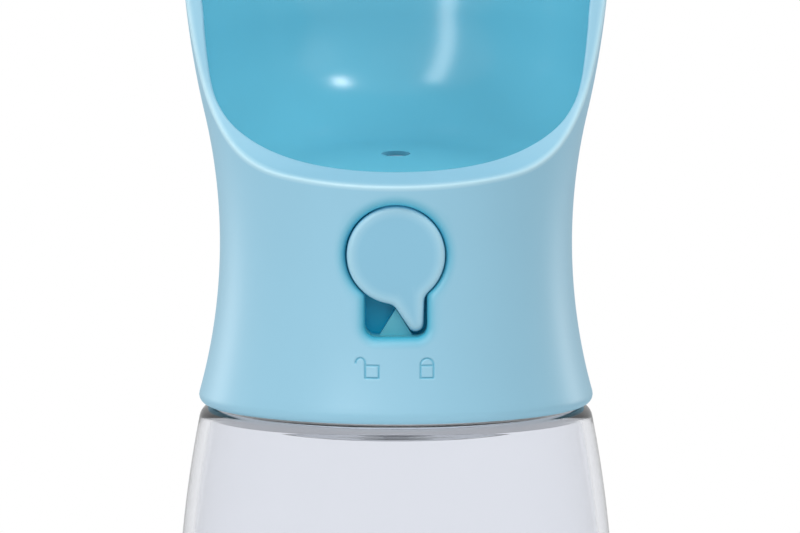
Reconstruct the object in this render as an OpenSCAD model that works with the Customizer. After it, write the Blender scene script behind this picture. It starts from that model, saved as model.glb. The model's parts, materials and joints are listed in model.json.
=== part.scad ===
/* [Bottle] */
// Largest radius of the clear bottle
bottle_r = 36; // [34:0.5:38]
// Height of the widest place of the bottle
bulge_z = 59; // [50:1:65]
// Height of the bottle's shoulder, just under the head
shoulder_z = 99.7; // [92:0.1:106]
// Radius of the side curve above the widest place
upper_curve_r = 202; // [190:1:230]
// Radius of the side curve below the widest place
lower_curve_r = 480; // [400:10:600]
// Wall thickness of the bottle
bottle_wall = 1.8; // [1.4:0.1:2.2]
// Rounding of the bottle's foot
foot_round = 8; // [6:0.5:9]
// Rounding of the bottle's shoulder
shoulder_round = 2.2; // [2:0.1:3]
// Radius of the hollow under the bottle
push_up_r = 21.5; // [19:0.5:22.5]
// Height of the hollow under the bottle
push_up_h = 3; // [2.5:0.1:4]
/* [Neck and thread] */
// Outer radius of the neck
neck_r = 24; // [23.6:0.1:24.4]
// Wall thickness of the neck
neck_wall = 2.2; // [1.8:0.1:2.6]
// Height of the neck above the shoulder
neck_h = 8.6; // [8.2:0.1:8.6]
// Height of the start of the neck's thread above the shoulder
thread_start = 2; // [1.8:0.1:2.2]
// Rise of the thread in one turn
thread_pitch = 4; // [3.8:0.1:4.2]
// How far the thread stands out from its wall
thread_depth = 1.3; // [1.1:0.05:1.4]
// Height of a thread at its root
thread_root = 1.5; // [1.2:0.05:1.6]
// Height of a thread at its crest
thread_crest = 0.6; // [0.4:0.05:0.8]
// Turns of the neck's thread
neck_turns = 1; // [0.75:0.25:1]
// Turns of the screw ring's thread
ring_turns = 0.75; // [0.5:0.25:0.75]
// Gap between the facing walls and crests of the threads
thread_gap = 0.4; // [0.3:0.05:0.5]
/* [Head] */
// Radius of the head's waist
waist_r = 28.85; // [28.5:0.05:29.5]
// Height of the waist above the head's lower edge
waist_h = 26.6; // [25:0.1:28]
// Radius of the hollow curve of the waist
waist_curve_r = 92; // [85:1:100]
// Slope angle at which the hollow curve turns into the bulging one
flare_angle = 13.2; // [12:0.1:14]
// Radius of the bulging curve of the scoop's sides
scoop_curve_r = 150; // [135:1:165]
// Height of the head from its lower edge to the scoop's top
head_h = 105; // [102:0.5:108]
// Radius of the scoop's crown
crown_r = 45; // [43:0.5:48]
// Rounding between the scoop's crown and its sides
crown_round = 14; // [11:0.5:16]
// Rounding of the head's lower corner
collar_round = 1.5; // [1:0.1:2]
// Wall thickness of the head
head_wall = 2.2; // [2:0.05:2.3]
// Gap between the bottle's shoulder and the head
collar_gap = 0.3; // [0.25:0.05:0.6]
/* [Scoop rim] */
// Distance in front of the axis of the point that the front rim passes
rim_front_d = 29.3; // [28.5:0.1:30]
// Height of the front rim above the head's lower edge
rim_front_h = 38.5; // [38.3:0.1:40]
// Angle by which the front rim rises towards the axis
rim_front_slope = 12.4; // [11:0.1:14]
// Distance in front of the axis of a point of the side rim
rim_side_d = 4; // [3:0.1:5]
// Height of that point above the head's lower edge
rim_side_h = 66; // [64:0.5:68]
// Angle by which the side rim leans back
rim_side_lean = 15.6; // [14:0.1:17]
// Rounding between the front rim and the side rim
rim_round = 22; // [18:0.5:25]
/* [Drinking bowl] */
// Thickness of the bowl liner
liner_t = 0.8; // [0.7:0.05:1]
// Gap between the liner and the head
liner_gap = 0.1; // [0.08:0.01:0.14]
// Wall of the rim, from the scoop's outside to the bowl's inside
rim_wall = 2.5; // [2.4:0.05:2.8]
// Height of the bowl's floor at the outlet, above the head's lower edge
floor_h = 40.4; // [40:0.1:41]
// Angle by which the bowl's floor falls towards the front
floor_tilt = 5.2; // [4:0.1:6]
// Radius of the bowl's front wall, seen from above
front_wall_r = 34; // [33:0.5:35]
// Distance in front of the axis of the bowl's inner front edge
front_wall_d = 23; // [22.5:0.1:23.5]
// Rounding between the floor and the front wall
front_floor_round = 7; // [5:0.5:9]
// Radius of the bowl's sides near the floor
side_wall_r = 33; // [32.5:0.1:34]
// Rounding between the floor and the sides
side_floor_round = 17; // [15:0.5:18]
// Radius of the water outlet
outlet_r = 2.4; // [2:0.1:2.8]
// Distance of the outlet behind the bottle's axis
outlet_back = 5; // [4.6:0.1:5.4]
/* [Push button] */
// Height of the button's centre above the head's lower edge
button_h = 27.1; // [26.9:0.1:27.3]
// Radius of the button
button_r = 7.95; // [7.7:0.05:8.1]
// Gap round the button
button_gap = 0.3; // [0.25:0.05:0.4]
// Distance of the button's face in front of the axis
button_face_d = 28.2; // [28:0.1:28.4]
// Thickness of the button from its face to its back
button_t = 3.2; // [3:0.1:3.4]
// Thickness of the button's face
button_face_t = 1.6; // [1.4:0.1:1.8]
// Wall of the button's skirt
button_skirt = 1.2; // [1:0.1:1.4]
// Rounding of the button's edge
button_round = 0.5; // [0.3:0.05:0.6]
// Travel of the button
press_travel = 3; // [2.8:0.1:3.2]
// Half of the angle that the lock pointer swings
lock_half_swing = 16; // [14:0.5:17]
// Half of the angle between the pointer's sides
pointer_half_angle = 16; // [14:0.5:17]
// Distance of the pointer's round tip from the button's centre
pointer_tip_d = 11.5; // [11.2:0.1:11.6]
// Radius of the pointer's tip
pointer_tip_r = 1.3; // [1.1:0.05:1.4]
// Half of the width of the window below the button
window_half_w = 5; // [4.8:0.1:5.2]
// Depth of the window below the button's centre
window_drop = 13.2; // [13.1:0.1:13.6]
// Rounding of the window's corners
window_round = 1.8; // [1.4:0.1:2.2]
/* [Button mechanism] */
// Radius of the push rod
rod_r = 2.4; // [2.3:0.05:2.5]
// Distance of the push rod's cone behind the bottle's axis
cone_back = 1.3; // [1.2:0.05:1.4]
// Radius of the cone's blunt end
cone_end_r = 0.4; // [0.3:0.05:0.5]
// Radial gap of running fits
running_gap = 0.05; // [0.03:0.01:0.08]
// Wall thickness of the button housing
housing_wall = 1.5; // [1.3:0.1:1.7]
// Depth of the spring well behind the housing's floor
well_depth = 4.5; // [4.2:0.1:4.8]
// Radius of the spring well
well_r = 5.3; // [5.1:0.1:5.4]
// Wall at the bottom of the spring well
well_wall = 1.6; // [1.4:0.1:1.8]
// Mean radius of the button spring's coils
button_spring_r = 4.3; // [4.2:0.05:4.4]
// Coils of the button spring
button_coils = 6; // [4:1:8]
// Wire diameter of the springs
wire_d = 0.5; // [0.4:0.05:0.6]
// Distance of the housing screws from the button's centre
ear_x = 12.4; // [12.2:0.1:12.6]
// Radius of the housing screws
small_screw_r = 0.9; // [0.8:0.05:1]
/* [Valve] */
// Thickness of the deck that closes the head
deck_t = 2.5; // [2.3:0.1:2.8]
// Radius of the valve's seat hole
seat_r = 5; // [4.8:0.1:5.1]
// Radius of the valve plug
plug_r = 7; // [6.6:0.1:7.4]
// Thickness of the valve plug
plug_t = 2.6; // [2.4:0.1:3]
// Radius of the valve stem
stem_r = 1.6; // [1.5:0.05:1.7]
// Thickness of the cam's foot below the push rod
cam_foot = 1.3; // [1.1:0.1:1.4]
// Coils of the valve spring
valve_coils = 6; // [5:1:7]
// Radius of the cam on the valve stem
cam_r = 4.4; // [4.2:0.1:4.6]
// Inner radius of the valve chamber
chamber_r = 7; // [6.8:0.1:7.1]
// Wall of the valve chamber
chamber_wall = 1.6; // [1.4:0.1:1.8]
// Thickness of the neck gasket
gasket_t = 1.3; // [1.1:0.1:1.5]
// Distance of the deck screws from the bottle's axis
deck_screw_d = 17.5; // [17.3:0.1:17.8]
// Radius of the deck screws
deck_screw_r = 1.25; // [1.1:0.05:1.4]
// Radius of the deck screws' heads
deck_head_r = 2.3; // [2.1:0.1:2.4]
// Radius of the bosses that take the deck screws
boss_r = 2.9; // [2.7:0.1:3]
// Thinnest web between the bowl and the mechanism
web_t = 1.2; // [1.1:0.05:1.3]
/* [Hidden] */
$fn = 96;
shell_blue = [0.60, 0.80, 0.88];
bowl_blue = [0.35, 0.66, 0.80];
clear_grey = [0.87, 0.89, 0.93, 0.4];
rubber_white = [0.90, 0.91, 0.90];
inner_white = [0.93, 0.94, 0.95];
steel = [0.75, 0.76, 0.78];
// How far cuts run past what they cut
past = 1;
// Gap between faces that rest on each other
seat_gap = 0.05;
// Gap between a face and the piece that moves towards it
free_gap = 0.3;
far = 150;
z0 = shoulder_z + collar_gap;
function unit(a) = [cos(a), sin(a)];
function dir(a, b) = atan2(b[1] - a[1], b[0] - a[0]);
// The right-hand point where two circles meet
function meet(a, ra, b, rb) =
  let (
    d = norm(b - a),
    t = (d * d + ra * ra - rb * rb) / (2 * d),
    k = sqrt(ra * ra - t * t),
    u = (b - a) / d,
    p = a + t * u,
    q = [p + k * [u[1], -u[0]], p - k * [u[1], -u[0]]]
  ) q[0][0] > q[1][0] ? q[0] : q[1];
// Removes the corner outside the circle c, r between the directions a1 and a2
module corner_cut(c, r, a1, a2) {
  difference() {
    polygon([c, c + 2 * r * unit(a1), c + 3 * r * unit((a1 + a2) / 2), c + 2 * r * unit(a2)]);
    translate(c) circle(r = r, $fn = 180);
  }
}
// Turns a flat outline in y and z into a solid along x
module along_x(w) {
  rotate([90, 0, 90]) linear_extrude(w, center = true) children();
}
// Extrudes an outline in x and z from the depth d0 to the depth d1 in front of the axis
module along_y(d0, d1) {
  translate([0, -d0, 0]) rotate([90, 0, 0]) linear_extrude(d1 - d0) children();
}
// A rod along y, from the depth d0 to the depth d1 in front of the axis
module rod(r, d0, d1, fn = 96) {
  translate([0, -d0, 0]) rotate([90, 0, 0]) cylinder(r = r, h = d1 - d0, $fn = fn);
}
// A ring along y
module rod_ring(ro, ri, d0, d1) {
  difference() {
    rod(ro, d0, d1);
    rod(ri, d0 - past, d1 + past);
  }
}
// A ring along z
module ring(ro, ri, h0, h1) {
  difference() {
    translate([0, 0, h0]) cylinder(r = ro, h = h1 - h0);
    translate([0, 0, h0 - past]) cylinder(r = ri, h = h1 - h0 + 2 * past);
  }
}
// A round wire or a thread wound along z: sec gives its section as radius and height
function swept(sec, pitch, turns, n) =
  [for (i = [0 : n * turns]) for (q = sec)
    [q[0] * cos(360 * i / n), q[0] * sin(360 * i / n), q[1] + pitch * i / n]];
function skin(m, rings) = concat(
  [for (k = [1 : m - 2]) [0, k, k + 1]],
  [for (i = [0 : rings - 2]) for (k = [0 : m - 1]) let (a = i * m + k, b = i * m + (k + 1) % m)
    each [[a, b + m, b], [a, a + m, b + m]]],
  [for (k = [1 : m - 2]) let (e = (rings - 1) * m) [e, e + k + 1, e + k]]);
module wound(sec, pitch, turns, n) {
  pts = swept(sec, pitch, turns, n);
  polyhedron(points = pts, faces = skin(len(sec), floor(n * turns) + 1));
}
// Neck, gasket and deck
neck_top = shoulder_z + neck_h;
neck_ri = neck_r - neck_wall;
thread_crest_r = neck_r + thread_depth;
ring_ri = thread_crest_r + thread_gap;
gasket_z = neck_top + seat_gap;
deck_z = gasket_z + gasket_t + seat_gap;
deck_top = deck_z + deck_t;
ring_z = z0 + collar_gap;
ring_top = deck_z - seat_gap;
thread_z = shoulder_z + thread_start;
// How deep a thread is sunk into its wall
thread_bite = 0.5;
// Head curves
hollow_c = [waist_r + waist_curve_r, z0 + waist_h];
bulge_c = hollow_c + (waist_curve_r + scoop_curve_r) * [-cos(flare_angle), sin(flare_angle)];
join_z = hollow_c[1] + waist_curve_r * sin(flare_angle);
crown_c = [0, z0 + head_h - crown_r];
crown_round_c = meet(bulge_c, scoop_curve_r - crown_round, crown_c, crown_r - crown_round);
foot_c = [
  hollow_c[0] - sqrt(pow(waist_curve_r + collar_round, 2) - pow(waist_h - collar_round, 2)),
  z0 + collar_round];
foot_r = foot_c[0] + collar_round;
// Bowl
outlet_z = z0 + floor_h;
front_axis_y = front_wall_r - front_wall_d;
trough_h = side_floor_round + 1;
front_trough_drop = 0.3;
floor_low_z = outlet_z - tan(floor_tilt) * (front_wall_d + outlet_back);
bay_top = floor_low_z - liner_t - web_t;
// Rim lines in y and z: the front one runs along front_u, the side one along side_u
front_u = [cos(rim_front_slope), sin(rim_front_slope)];
side_u = [sin(rim_side_lean), cos(rim_side_lean)];
front_p = [-rim_front_d, z0 + rim_front_h];
side_p = [-rim_side_d, z0 + rim_side_h];
rim_angle = 90 + rim_front_slope + rim_side_lean;
function cross2(a, b) = a[0] * b[1] - a[1] * b[0];
function rim_corner(g) =
  let (
    a = front_p + g * [front_u[1], -front_u[0]],
    b = side_p + g * [side_u[1], -side_u[0]],
    t = cross2(b - a, side_u) / cross2(front_u, side_u)
  ) a + t * front_u;
rim_mid = (180 + rim_front_slope + 90 - rim_side_lean) / 2;
rim_round_c = rim_corner(0) + rim_round / sin(rim_angle / 2) * unit(rim_mid);
// Button
button_z = z0 + button_h;
hole_r = button_r + button_gap;
button_back_d = button_face_d - button_t;
cap_inner_d = button_face_d - button_face_t;
shelf_d = button_back_d - free_gap;
housing_floor_d = button_back_d - press_travel - free_gap;
housing_back_d = housing_floor_d - housing_wall;
housing_r = hole_r + housing_wall;
well_floor_d = housing_floor_d - well_depth;
well_back_d = well_floor_d - well_wall;
inner_waist_r = waist_r - head_wall;
housing_front_r = inner_waist_r - 3 * seat_gap;
ear_front_d = housing_floor_d - seat_gap;
ear_r = small_screw_r + housing_wall;
pilot_gap = 0.05;
// Push rod
rod_hole_r = rod_r + running_gap;
cone_l = rod_r - cone_end_r;
clip_t = 0.7;
clip_d = well_back_d - clip_t - 4 * seat_gap;
// Valve
chamber_ro = chamber_r + chamber_wall;
seal_wire_r = 0.52;
chamber_z = deck_top + seat_gap;
chamber_top = bay_top - 2 * seal_wire_r - 2 * seat_gap;
guide_ring_r = seat_r + web_t;
guide_h = 1;
spoke_w = 1.4;
hub_r = stem_r + 1.3;
hub_top = deck_top + 4;
hub_bottom = deck_z + 1.1;
collar_r = stem_r + 0.8;
collar_top = hub_bottom - 0.35;
cam_z = button_z - rod_r - cam_foot;
valve_spring_h = cam_z - deck_top - 2 * seat_gap;
cam_gap = 0.2;
cam_face = button_z - rod_r - cone_back - cam_gap * sqrt(2);
plug_top = deck_z - seat_gap;
plug_skirt = 1.2;
plug_lip_t = 1;
washer_t = 0.8;
washer_top = plug_top - plug_t - seat_gap;
clip_top = washer_top - washer_t - seat_gap;
clip_groove_r = stem_r - 0.45;
stem_bottom = clip_top - clip_t - 0.6;
rod_groove_r = rod_r - 0.5;
bush_r = rod_r + 1.1;
bush_face_t = 0.8;
ear_t = 1.4;
boss_wall = 1.3;
// Gland on the chamber, along the push rod
rod_seal_t = 1.6;
gland_seat_r = rod_r + rod_seal_t;
gland_r = gland_seat_r + web_t;
gland_floor_d = chamber_ro - outlet_back + rod_seal_t;
gland_front_d = gland_floor_d + 2 * rod_seal_t;
gland_face_t = 1.2;
// Screws
deck_screw_angles = [90, 215, 325];
deck_screw_l = 9;
head_t = 1.4;

module bottle_outline(inset) {
  w = inset;
  shoulder = shoulder_z - w;
  upper_c = [bottle_r - upper_curve_r, bulge_z];
  lower_c = [bottle_r - lower_curve_r, bulge_z];
  rs = max(shoulder_round - w, 0.4);
  rf = foot_round - w;
  drop = bulge_z - w - rf;
  fc = [lower_c[0] + sqrt(pow(lower_curve_r - w - rf, 2) - drop * drop), w + rf];
  rise = shoulder - rs - bulge_z;
  sc = [upper_c[0] + sqrt(pow(upper_curve_r - w - rs, 2) - rise * rise), shoulder - rs];
  difference() {
    union() {
      intersection() {
        translate([0, bulge_z]) square([bottle_r + past, shoulder - bulge_z]);
        translate(upper_c) circle(r = upper_curve_r - w, $fn = 720);
      }
      intersection() {
        translate([0, w]) square([bottle_r + past, bulge_z - w]);
        translate(lower_c) circle(r = lower_curve_r - w, $fn = 720);
      }
    }
    corner_cut(fc, rf, -90, dir(lower_c, fc));
    corner_cut(sc, rs, dir(upper_c, sc), 90);
  }
}
module neck_thread() {
  sec = [
    [neck_r - thread_bite, -thread_root / 2], [neck_r - thread_bite, thread_root / 2],
    [thread_crest_r, thread_crest / 2], [thread_crest_r, -thread_crest / 2]];
  translate([0, 0, thread_z]) wound(sec, thread_pitch, neck_turns, 36);
}
module ring_thread() {
  crest = neck_r + thread_gap;
  sec = [
    [crest, -thread_crest / 2], [crest, thread_crest / 2],
    [ring_ri + thread_bite, thread_root / 2], [ring_ri + thread_bite, -thread_root / 2]];
  translate([0, 0, thread_z + thread_pitch / 2]) wound(sec, thread_pitch, ring_turns, 36);
}
module bottle() {
  push_top_r = push_up_r / 3;
  color(clear_grey)
  difference() {
    union() {
      rotate_extrude($fn = 180) bottle_outline(0);
      translate([0, 0, shoulder_z - past]) cylinder(r = neck_r, h = neck_h + past);
      neck_thread();
    }
    difference() {
      rotate_extrude($fn = 180) bottle_outline(bottle_wall);
      translate([0, 0, bottle_wall])
        cylinder(r1 = push_up_r + bottle_wall, r2 = push_top_r + bottle_wall, h = push_up_h);
    }
    translate([0, 0, shoulder_z - 2 * bottle_wall]) cylinder(r = neck_ri, h = 2 * bottle_wall + neck_h + past);
    cylinder(r1 = push_up_r, r2 = push_top_r, h = push_up_h);
  }
}
module neck_gasket() {
  color(rubber_white)
  ring(neck_r + thread_gap, neck_ri, gasket_z, gasket_z + gasket_t);
}
module screw_ring() {
  web_r = foot_r - head_wall - collar_gap;
  web_h = 1.2;
  color(inner_white)
  union() {
    ring(inner_waist_r - free_gap, ring_ri, ring_z, ring_top);
    ring(web_r, ring_ri + free_gap, ring_z, ring_z + web_h);
    ring_thread();
  }
}

// The head's outline, drawn in by inset
module head_outline(inset) {
  difference() {
    union() {
      difference() {
        translate([0, z0]) square([hollow_c[0], join_z - z0]);
        translate(hollow_c) circle(r = waist_curve_r + inset, $fn = 720);
      }
      intersection() {
        translate([0, join_z]) square([hollow_c[0], head_h]);
        translate(bulge_c) circle(r = scoop_curve_r - inset, $fn = 720);
        translate(crown_c) circle(r = crown_r - inset, $fn = 360);
      }
    }
    corner_cut(crown_round_c, crown_round - inset, dir(bulge_c, crown_round_c),
      dir(crown_c, crown_round_c));
  }
}
// Everything in front of the scoop's rim, grown by g
module rim_space(g) {
  k = rim_corner(g);
  low = k - far * front_u;
  along_x(far)
  difference() {
    polygon([k, low, low + [0, 2 * far], k + far * side_u]);
    corner_cut(rim_round_c, rim_round + g, rim_front_slope - 90, -rim_side_lean);
  }
}
// A round trough with a flat floor at zero height and a rounded lower edge, open wide above
module trough(r, round_r, g) {
  rotate_extrude($fn = 180)
  difference() {
    union() {
      translate([0, -g]) square([r + g, trough_h + g]);
      translate([0, trough_h - g]) square([2 * waist_r + g, head_h]);
    }
    corner_cut([r - round_r, round_r], round_r + g, -90, 0);
  }
}
// The space inside the bowl, grown by g
module bowl_space(g) {
  intersection() {
    rotate_extrude($fn = 180) head_outline(rim_wall - g);
    translate([0, outlet_back, outlet_z])
    rotate([floor_tilt, 0, 0])
    intersection() {
      translate([0, -outlet_back, 0]) trough(side_wall_r, side_floor_round, g);
      translate([0, front_axis_y - outlet_back, -front_trough_drop])
        trough(front_wall_r, front_floor_round, g);
    }
  }
}
// The window below the button, in x and z about the button's centre
module window_outline(g) {
  w = window_half_w + g;
  c = [window_half_w - window_round, window_round - window_drop];
  difference() {
    translate([-w, -window_drop - g]) square([2 * w, window_drop + g]);
    corner_cut(c, window_round + g, -90, 0);
    corner_cut([-c[0], c[1]], window_round + g, 180, 270);
  }
}
module button_opening(g) {
  circle(r = hole_r + g);
  window_outline(g);
}
module ear_places() {
  for (side = [-1, 1])
    translate([side * ear_x, 0, button_z]) children();
}
module deck_screw_places() {
  for (a = deck_screw_angles)
    rotate([0, 0, a]) translate([deck_screw_d, 0, 0]) children();
}
module head_shell() {
  boss_end_d = sqrt(pow(inner_waist_r, 2) - pow(ear_x, 2)) + past;
  color(shell_blue)
  difference() {
    union() {
      difference() {
        rotate([0, 0, -90])
        rotate_extrude($fn = 180)
        difference() {
          head_outline(0);
          corner_cut(foot_c, collar_round, -90, dir(foot_c, hollow_c));
        }
        rotate([0, 0, -90])
        rotate_extrude($fn = 180)
        difference() {
          translate([0, z0 - past]) square([hollow_c[0], bay_top - z0 + past]);
          translate(hollow_c) circle(r = waist_curve_r + head_wall, $fn = 720);
        }
      }
      ear_places() rod(small_screw_r + boss_wall, ear_front_d + seat_gap, boss_end_d);
      deck_screw_places() translate([0, 0, deck_top + seat_gap])
        cylinder(r = boss_r, h = bay_top - deck_top + web_t / 2);
    }
    rim_space(0);
    bowl_space(liner_t + liner_gap);
    translate([0, 0, button_z]) along_y(inner_waist_r / 2, foot_r + past) button_opening(0);
    ear_places() rod(small_screw_r + pilot_gap, ear_front_d - past, boss_end_d - past / 2, 32);
    deck_screw_places() translate([0, 0, deck_top - past])
      cylinder(r = deck_screw_r + pilot_gap, h = deck_screw_l + past, $fn = 32);
    translate([0, outlet_back, bay_top - past]) cylinder(r = outlet_r, h = far / 10);
  }
}
module drinking_bowl() {
  color(bowl_blue)
  difference() {
    bowl_space(liner_t);
    bowl_space(0);
    rim_space(0);
    translate([0, outlet_back, bay_top - past]) cylinder(r = outlet_r, h = far / 10);
  }
}
// The valve's pieces stand on its own axis, under the outlet
module on_valve() {
  translate([0, outlet_back, 0]) children();
}
module valve_deck() {
  color(inner_white)
  difference() {
    translate([0, 0, deck_z]) cylinder(r = inner_waist_r - free_gap, h = deck_t);
    on_valve() {
      translate([0, 0, deck_z - past]) cylinder(r = seat_r, h = deck_t + 2 * past);
      translate([0, 0, deck_top - guide_h]) cylinder(r = guide_ring_r + seat_gap, h = guide_h + past);
    }
    deck_screw_places() translate([0, 0, deck_z - past])
      cylinder(r = deck_screw_r + 2 * pilot_gap, h = deck_t + 2 * past, $fn = 32);
  }
}
module deck_screws() {
  color(steel)
  deck_screw_places()
  difference() {
    union() {
      translate([0, 0, deck_z - seat_gap - head_t]) cylinder(r = deck_head_r, h = head_t);
      translate([0, 0, deck_z - seat_gap - past / 2])
        cylinder(r = deck_screw_r, h = deck_screw_l + deck_t - past, $fn = 32);
    }
    translate([0, 0, deck_z - head_t - past]) cylinder(r = deck_screw_r * 0.8, h = past + 0.7, $fn = 6);
  }
}
module stem_guide() {
  color(inner_white)
  on_valve()
  difference() {
    union() {
      ring(guide_ring_r, seat_r + seat_gap, deck_top - guide_h + seat_gap, deck_top);
      for (a = [30, 150, 270])
        rotate([0, 0, a]) translate([hub_r - past / 2, -spoke_w / 2, deck_top - guide_h + seat_gap])
          cube([seat_r - hub_r + past, spoke_w, guide_h - seat_gap]);
      translate([0, 0, hub_bottom]) cylinder(r = hub_r, h = hub_top - hub_bottom);
    }
    translate([0, 0, hub_bottom - past])
      cylinder(r = stem_r + running_gap, h = hub_top - hub_bottom + 2 * past);
  }
}
module valve_chamber() {
  color(inner_white)
  difference() {
    union() {
      on_valve() ring(chamber_ro, chamber_r, chamber_z, chamber_top);
      translate([0, 0, button_z]) difference() {
        rod(gland_r, chamber_r - outlet_back, gland_front_d);
        translate([0, outlet_back, -far / 2]) cylinder(r = chamber_r + free_gap, h = far);
      }
    }
    translate([0, 0, button_z]) {
      rod(rod_hole_r, -outlet_back, gland_front_d + past);
      rod(gland_seat_r, gland_floor_d, gland_front_d + past);
    }
  }
}
module chamber_seal() {
  color(rubber_white)
  on_valve()
  translate([0, 0, chamber_top + seat_gap + seal_wire_r])
  rotate_extrude() translate([(chamber_r + chamber_ro) / 2, 0]) circle(r = seal_wire_r, $fn = 32);
}
module valve_stem() {
  color(inner_white)
  difference() {
    on_valve() {
      translate([0, 0, stem_bottom]) cylinder(r = stem_r, h = cam_z - stem_bottom + past);
      translate([0, 0, plug_top + seat_gap]) cylinder(r = collar_r, h = collar_top - plug_top - seat_gap);
      translate([0, 0, cam_z]) cylinder(r = cam_r, h = 2 * cam_r + outlet_back);
    }
    // The cam's slanted face lies along the underside of the rod's cone
    translate([0, 0, cam_face]) rotate([45, 0, 0]) translate([-far / 2, -far / 2, 0]) cube(far);
    on_valve() ring(stem_r + past, clip_groove_r, clip_top - clip_t - seat_gap, clip_top + seat_gap);
  }
}
module valve_plug() {
  color(rubber_white)
  on_valve()
  difference() {
    union() {
      translate([0, 0, plug_top - plug_t]) cylinder(r = plug_r - plug_skirt, h = plug_t);
      translate([0, 0, plug_top - plug_lip_t]) cylinder(r = plug_r, h = plug_lip_t);
    }
    translate([0, 0, plug_top - plug_t - past])
      cylinder(r = stem_r + running_gap, h = plug_t + 2 * past);
  }
}
module plug_washer() {
  color(steel)
  on_valve() ring(stem_r + 2.2, stem_r + running_gap, washer_top - washer_t, washer_top);
}
// A clip ring with a mouth, in its groove
module clip_ring(groove_r, t) {
  difference() {
    ring(groove_r + 1.7, groove_r + running_gap, 0, t);
    translate([-groove_r * 0.7, -far, -past]) cube([groove_r * 1.4, far, t + 2 * past]);
  }
}
module plug_clip() {
  color(steel)
  on_valve() translate([0, 0, clip_top - clip_t]) clip_ring(clip_groove_r, clip_t);
}
// A round wire spring along z that starts at zero height
module spring(r, h, coils) {
  sides = 6;
  sec = [for (k = [0 : sides - 1]) [
    r + wire_d / 2 * cos(-60 * k), wire_d / 2 + wire_d / 2 * sin(-60 * k)]];
  wound(sec, (h - wire_d) / coils, coils, 16);
}
module valve_spring() {
  color(steel)
  on_valve() translate([0, 0, deck_top + seat_gap])
    spring((hub_r + cam_r) / 2, valve_spring_h, valve_coils);
}
// The pointer in x and z, hanging straight down from the button's centre
module pointer_outline() {
  a = pointer_half_angle;
  root = pointer_tip_d - 0.75 * button_r;
  c = [0, -pointer_tip_d];
  side = c + pointer_tip_r * [cos(a), -sin(a)];
  top = side + (root + pointer_tip_r * sin(a)) / cos(a) * [sin(a), cos(a)];
  translate(c) circle(r = pointer_tip_r, $fn = 48);
  polygon([side, top, [-top[0], top[1]], [-side[0], side[1]]]);
}
// The shelf between the pointer's two places: its sides run along the pointer's inner side
module shelf_outline() {
  lean = pointer_half_angle + lock_half_swing;
  reach = pointer_tip_d * sin(pointer_half_angle) + pointer_tip_r + button_gap;
  apex = reach / sin(lean);
  base = window_drop + housing_wall;
  polygon([[0, -apex], [(base - apex) * tan(lean), -base], [-(base - apex) * tan(lean), -base]]);
}
module on_button() {
  translate([0, 0, button_z]) children();
}
module button_cap() {
  color(shell_blue)
  on_button()
  difference() {
    union() {
      translate([0, -button_back_d, 0]) rotate([90, 0, 0])
      rotate_extrude()
      difference() {
        square([button_r, button_t]);
        corner_cut([button_r - button_round, button_t - button_round], button_round, 0, 90);
      }
      along_y(button_back_d, button_face_d - button_round / 2)
        rotate(lock_half_swing) pointer_outline();
    }
    rod_ring(button_r - button_skirt, rod_r + button_skirt, button_back_d - past, cap_inner_d);
    rod(rod_hole_r, button_back_d - past, cap_inner_d);
  }
}
module button_housing() {
  color(shell_blue)
  difference() {
    intersection() {
      on_button() {
        along_y(housing_back_d, inner_waist_r) button_opening(housing_wall);
        rod(well_r + housing_wall, well_back_d, housing_floor_d);
        along_y(ear_front_d - ear_t, ear_front_d)
          for (side = [-1, 1]) hull() {
            translate([side * ear_x, 0]) circle(r = ear_r, $fn = 32);
            translate([side * hole_r, 0]) circle(r = ear_r, $fn = 32);
          }
      }
      translate([0, 0, z0]) cylinder(r = housing_front_r, h = bay_top - free_gap / 2 - z0);
    }
    on_button() {
      along_y(housing_floor_d, far) circle(r = hole_r);
      along_y(shelf_d, far) window_outline(0);
      along_y(housing_floor_d, far) difference() {
        window_outline(0);
        shelf_outline();
      }
      along_y(housing_floor_d, far) translate([-hole_r / 2, 0]) square([hole_r, hole_r + 2 * past]);
      rod(well_r, well_floor_d, housing_floor_d + past);
      rod(bush_r + seat_gap, well_back_d - past, well_floor_d + past);
    }
    ear_places() rod(small_screw_r + 2 * pilot_gap, ear_front_d - ear_t - past, ear_front_d + past, 32);
  }
}
module housing_screws() {
  back = ear_front_d - ear_t - seat_gap;
  tip = sqrt(pow(inner_waist_r, 2) - pow(ear_x, 2));
  color(steel)
  ear_places() difference() {
    union() {
      rod(small_screw_r + 0.9, back - head_t, back);
      rod(small_screw_r, back - head_t / 2, tip, 32);
    }
    rod(small_screw_r * 0.7, back - head_t - past, back - head_t / 2, 6);
  }
}
module push_rod() {
  color(inner_white)
  on_button()
  difference() {
    union() {
      rod(rod_r, -cone_back, cap_inner_d - 2 * seat_gap);
      translate([0, cone_back, 0]) rotate([-90, 0, 0])
        cylinder(r1 = rod_r, r2 = cone_end_r, h = cone_l);
    }
    rod_ring(rod_r + past, rod_groove_r, clip_d - seat_gap, clip_d + clip_t + seat_gap);
  }
}
module rod_clip() {
  color(steel)
  on_button() translate([0, -clip_d, 0]) rotate([90, 0, 0]) clip_ring(rod_groove_r, clip_t);
}
module rod_bush() {
  color(inner_white)
  on_button() {
    rod_ring(bush_r, rod_hole_r, well_back_d, well_floor_d + seat_gap + bush_face_t);
    rod_ring(bush_r + free_gap, rod_hole_r, well_floor_d + seat_gap,
      well_floor_d + seat_gap + bush_face_t);
  }
}
module rod_seal() {
  color(rubber_white)
  on_button() rod_ring(gland_seat_r - seat_gap, rod_hole_r, gland_floor_d + seat_gap,
    gland_floor_d + seat_gap + rod_seal_t);
}
module gland_cap() {
  spigot_d = gland_floor_d + rod_seal_t + 2 * seat_gap;
  color(inner_white)
  on_button() {
    rod_ring(gland_seat_r - seat_gap, rod_hole_r, spigot_d, gland_front_d + past);
    rod_ring(gland_r, rod_hole_r, gland_front_d + seat_gap, gland_front_d + gland_face_t);
  }
}
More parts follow.
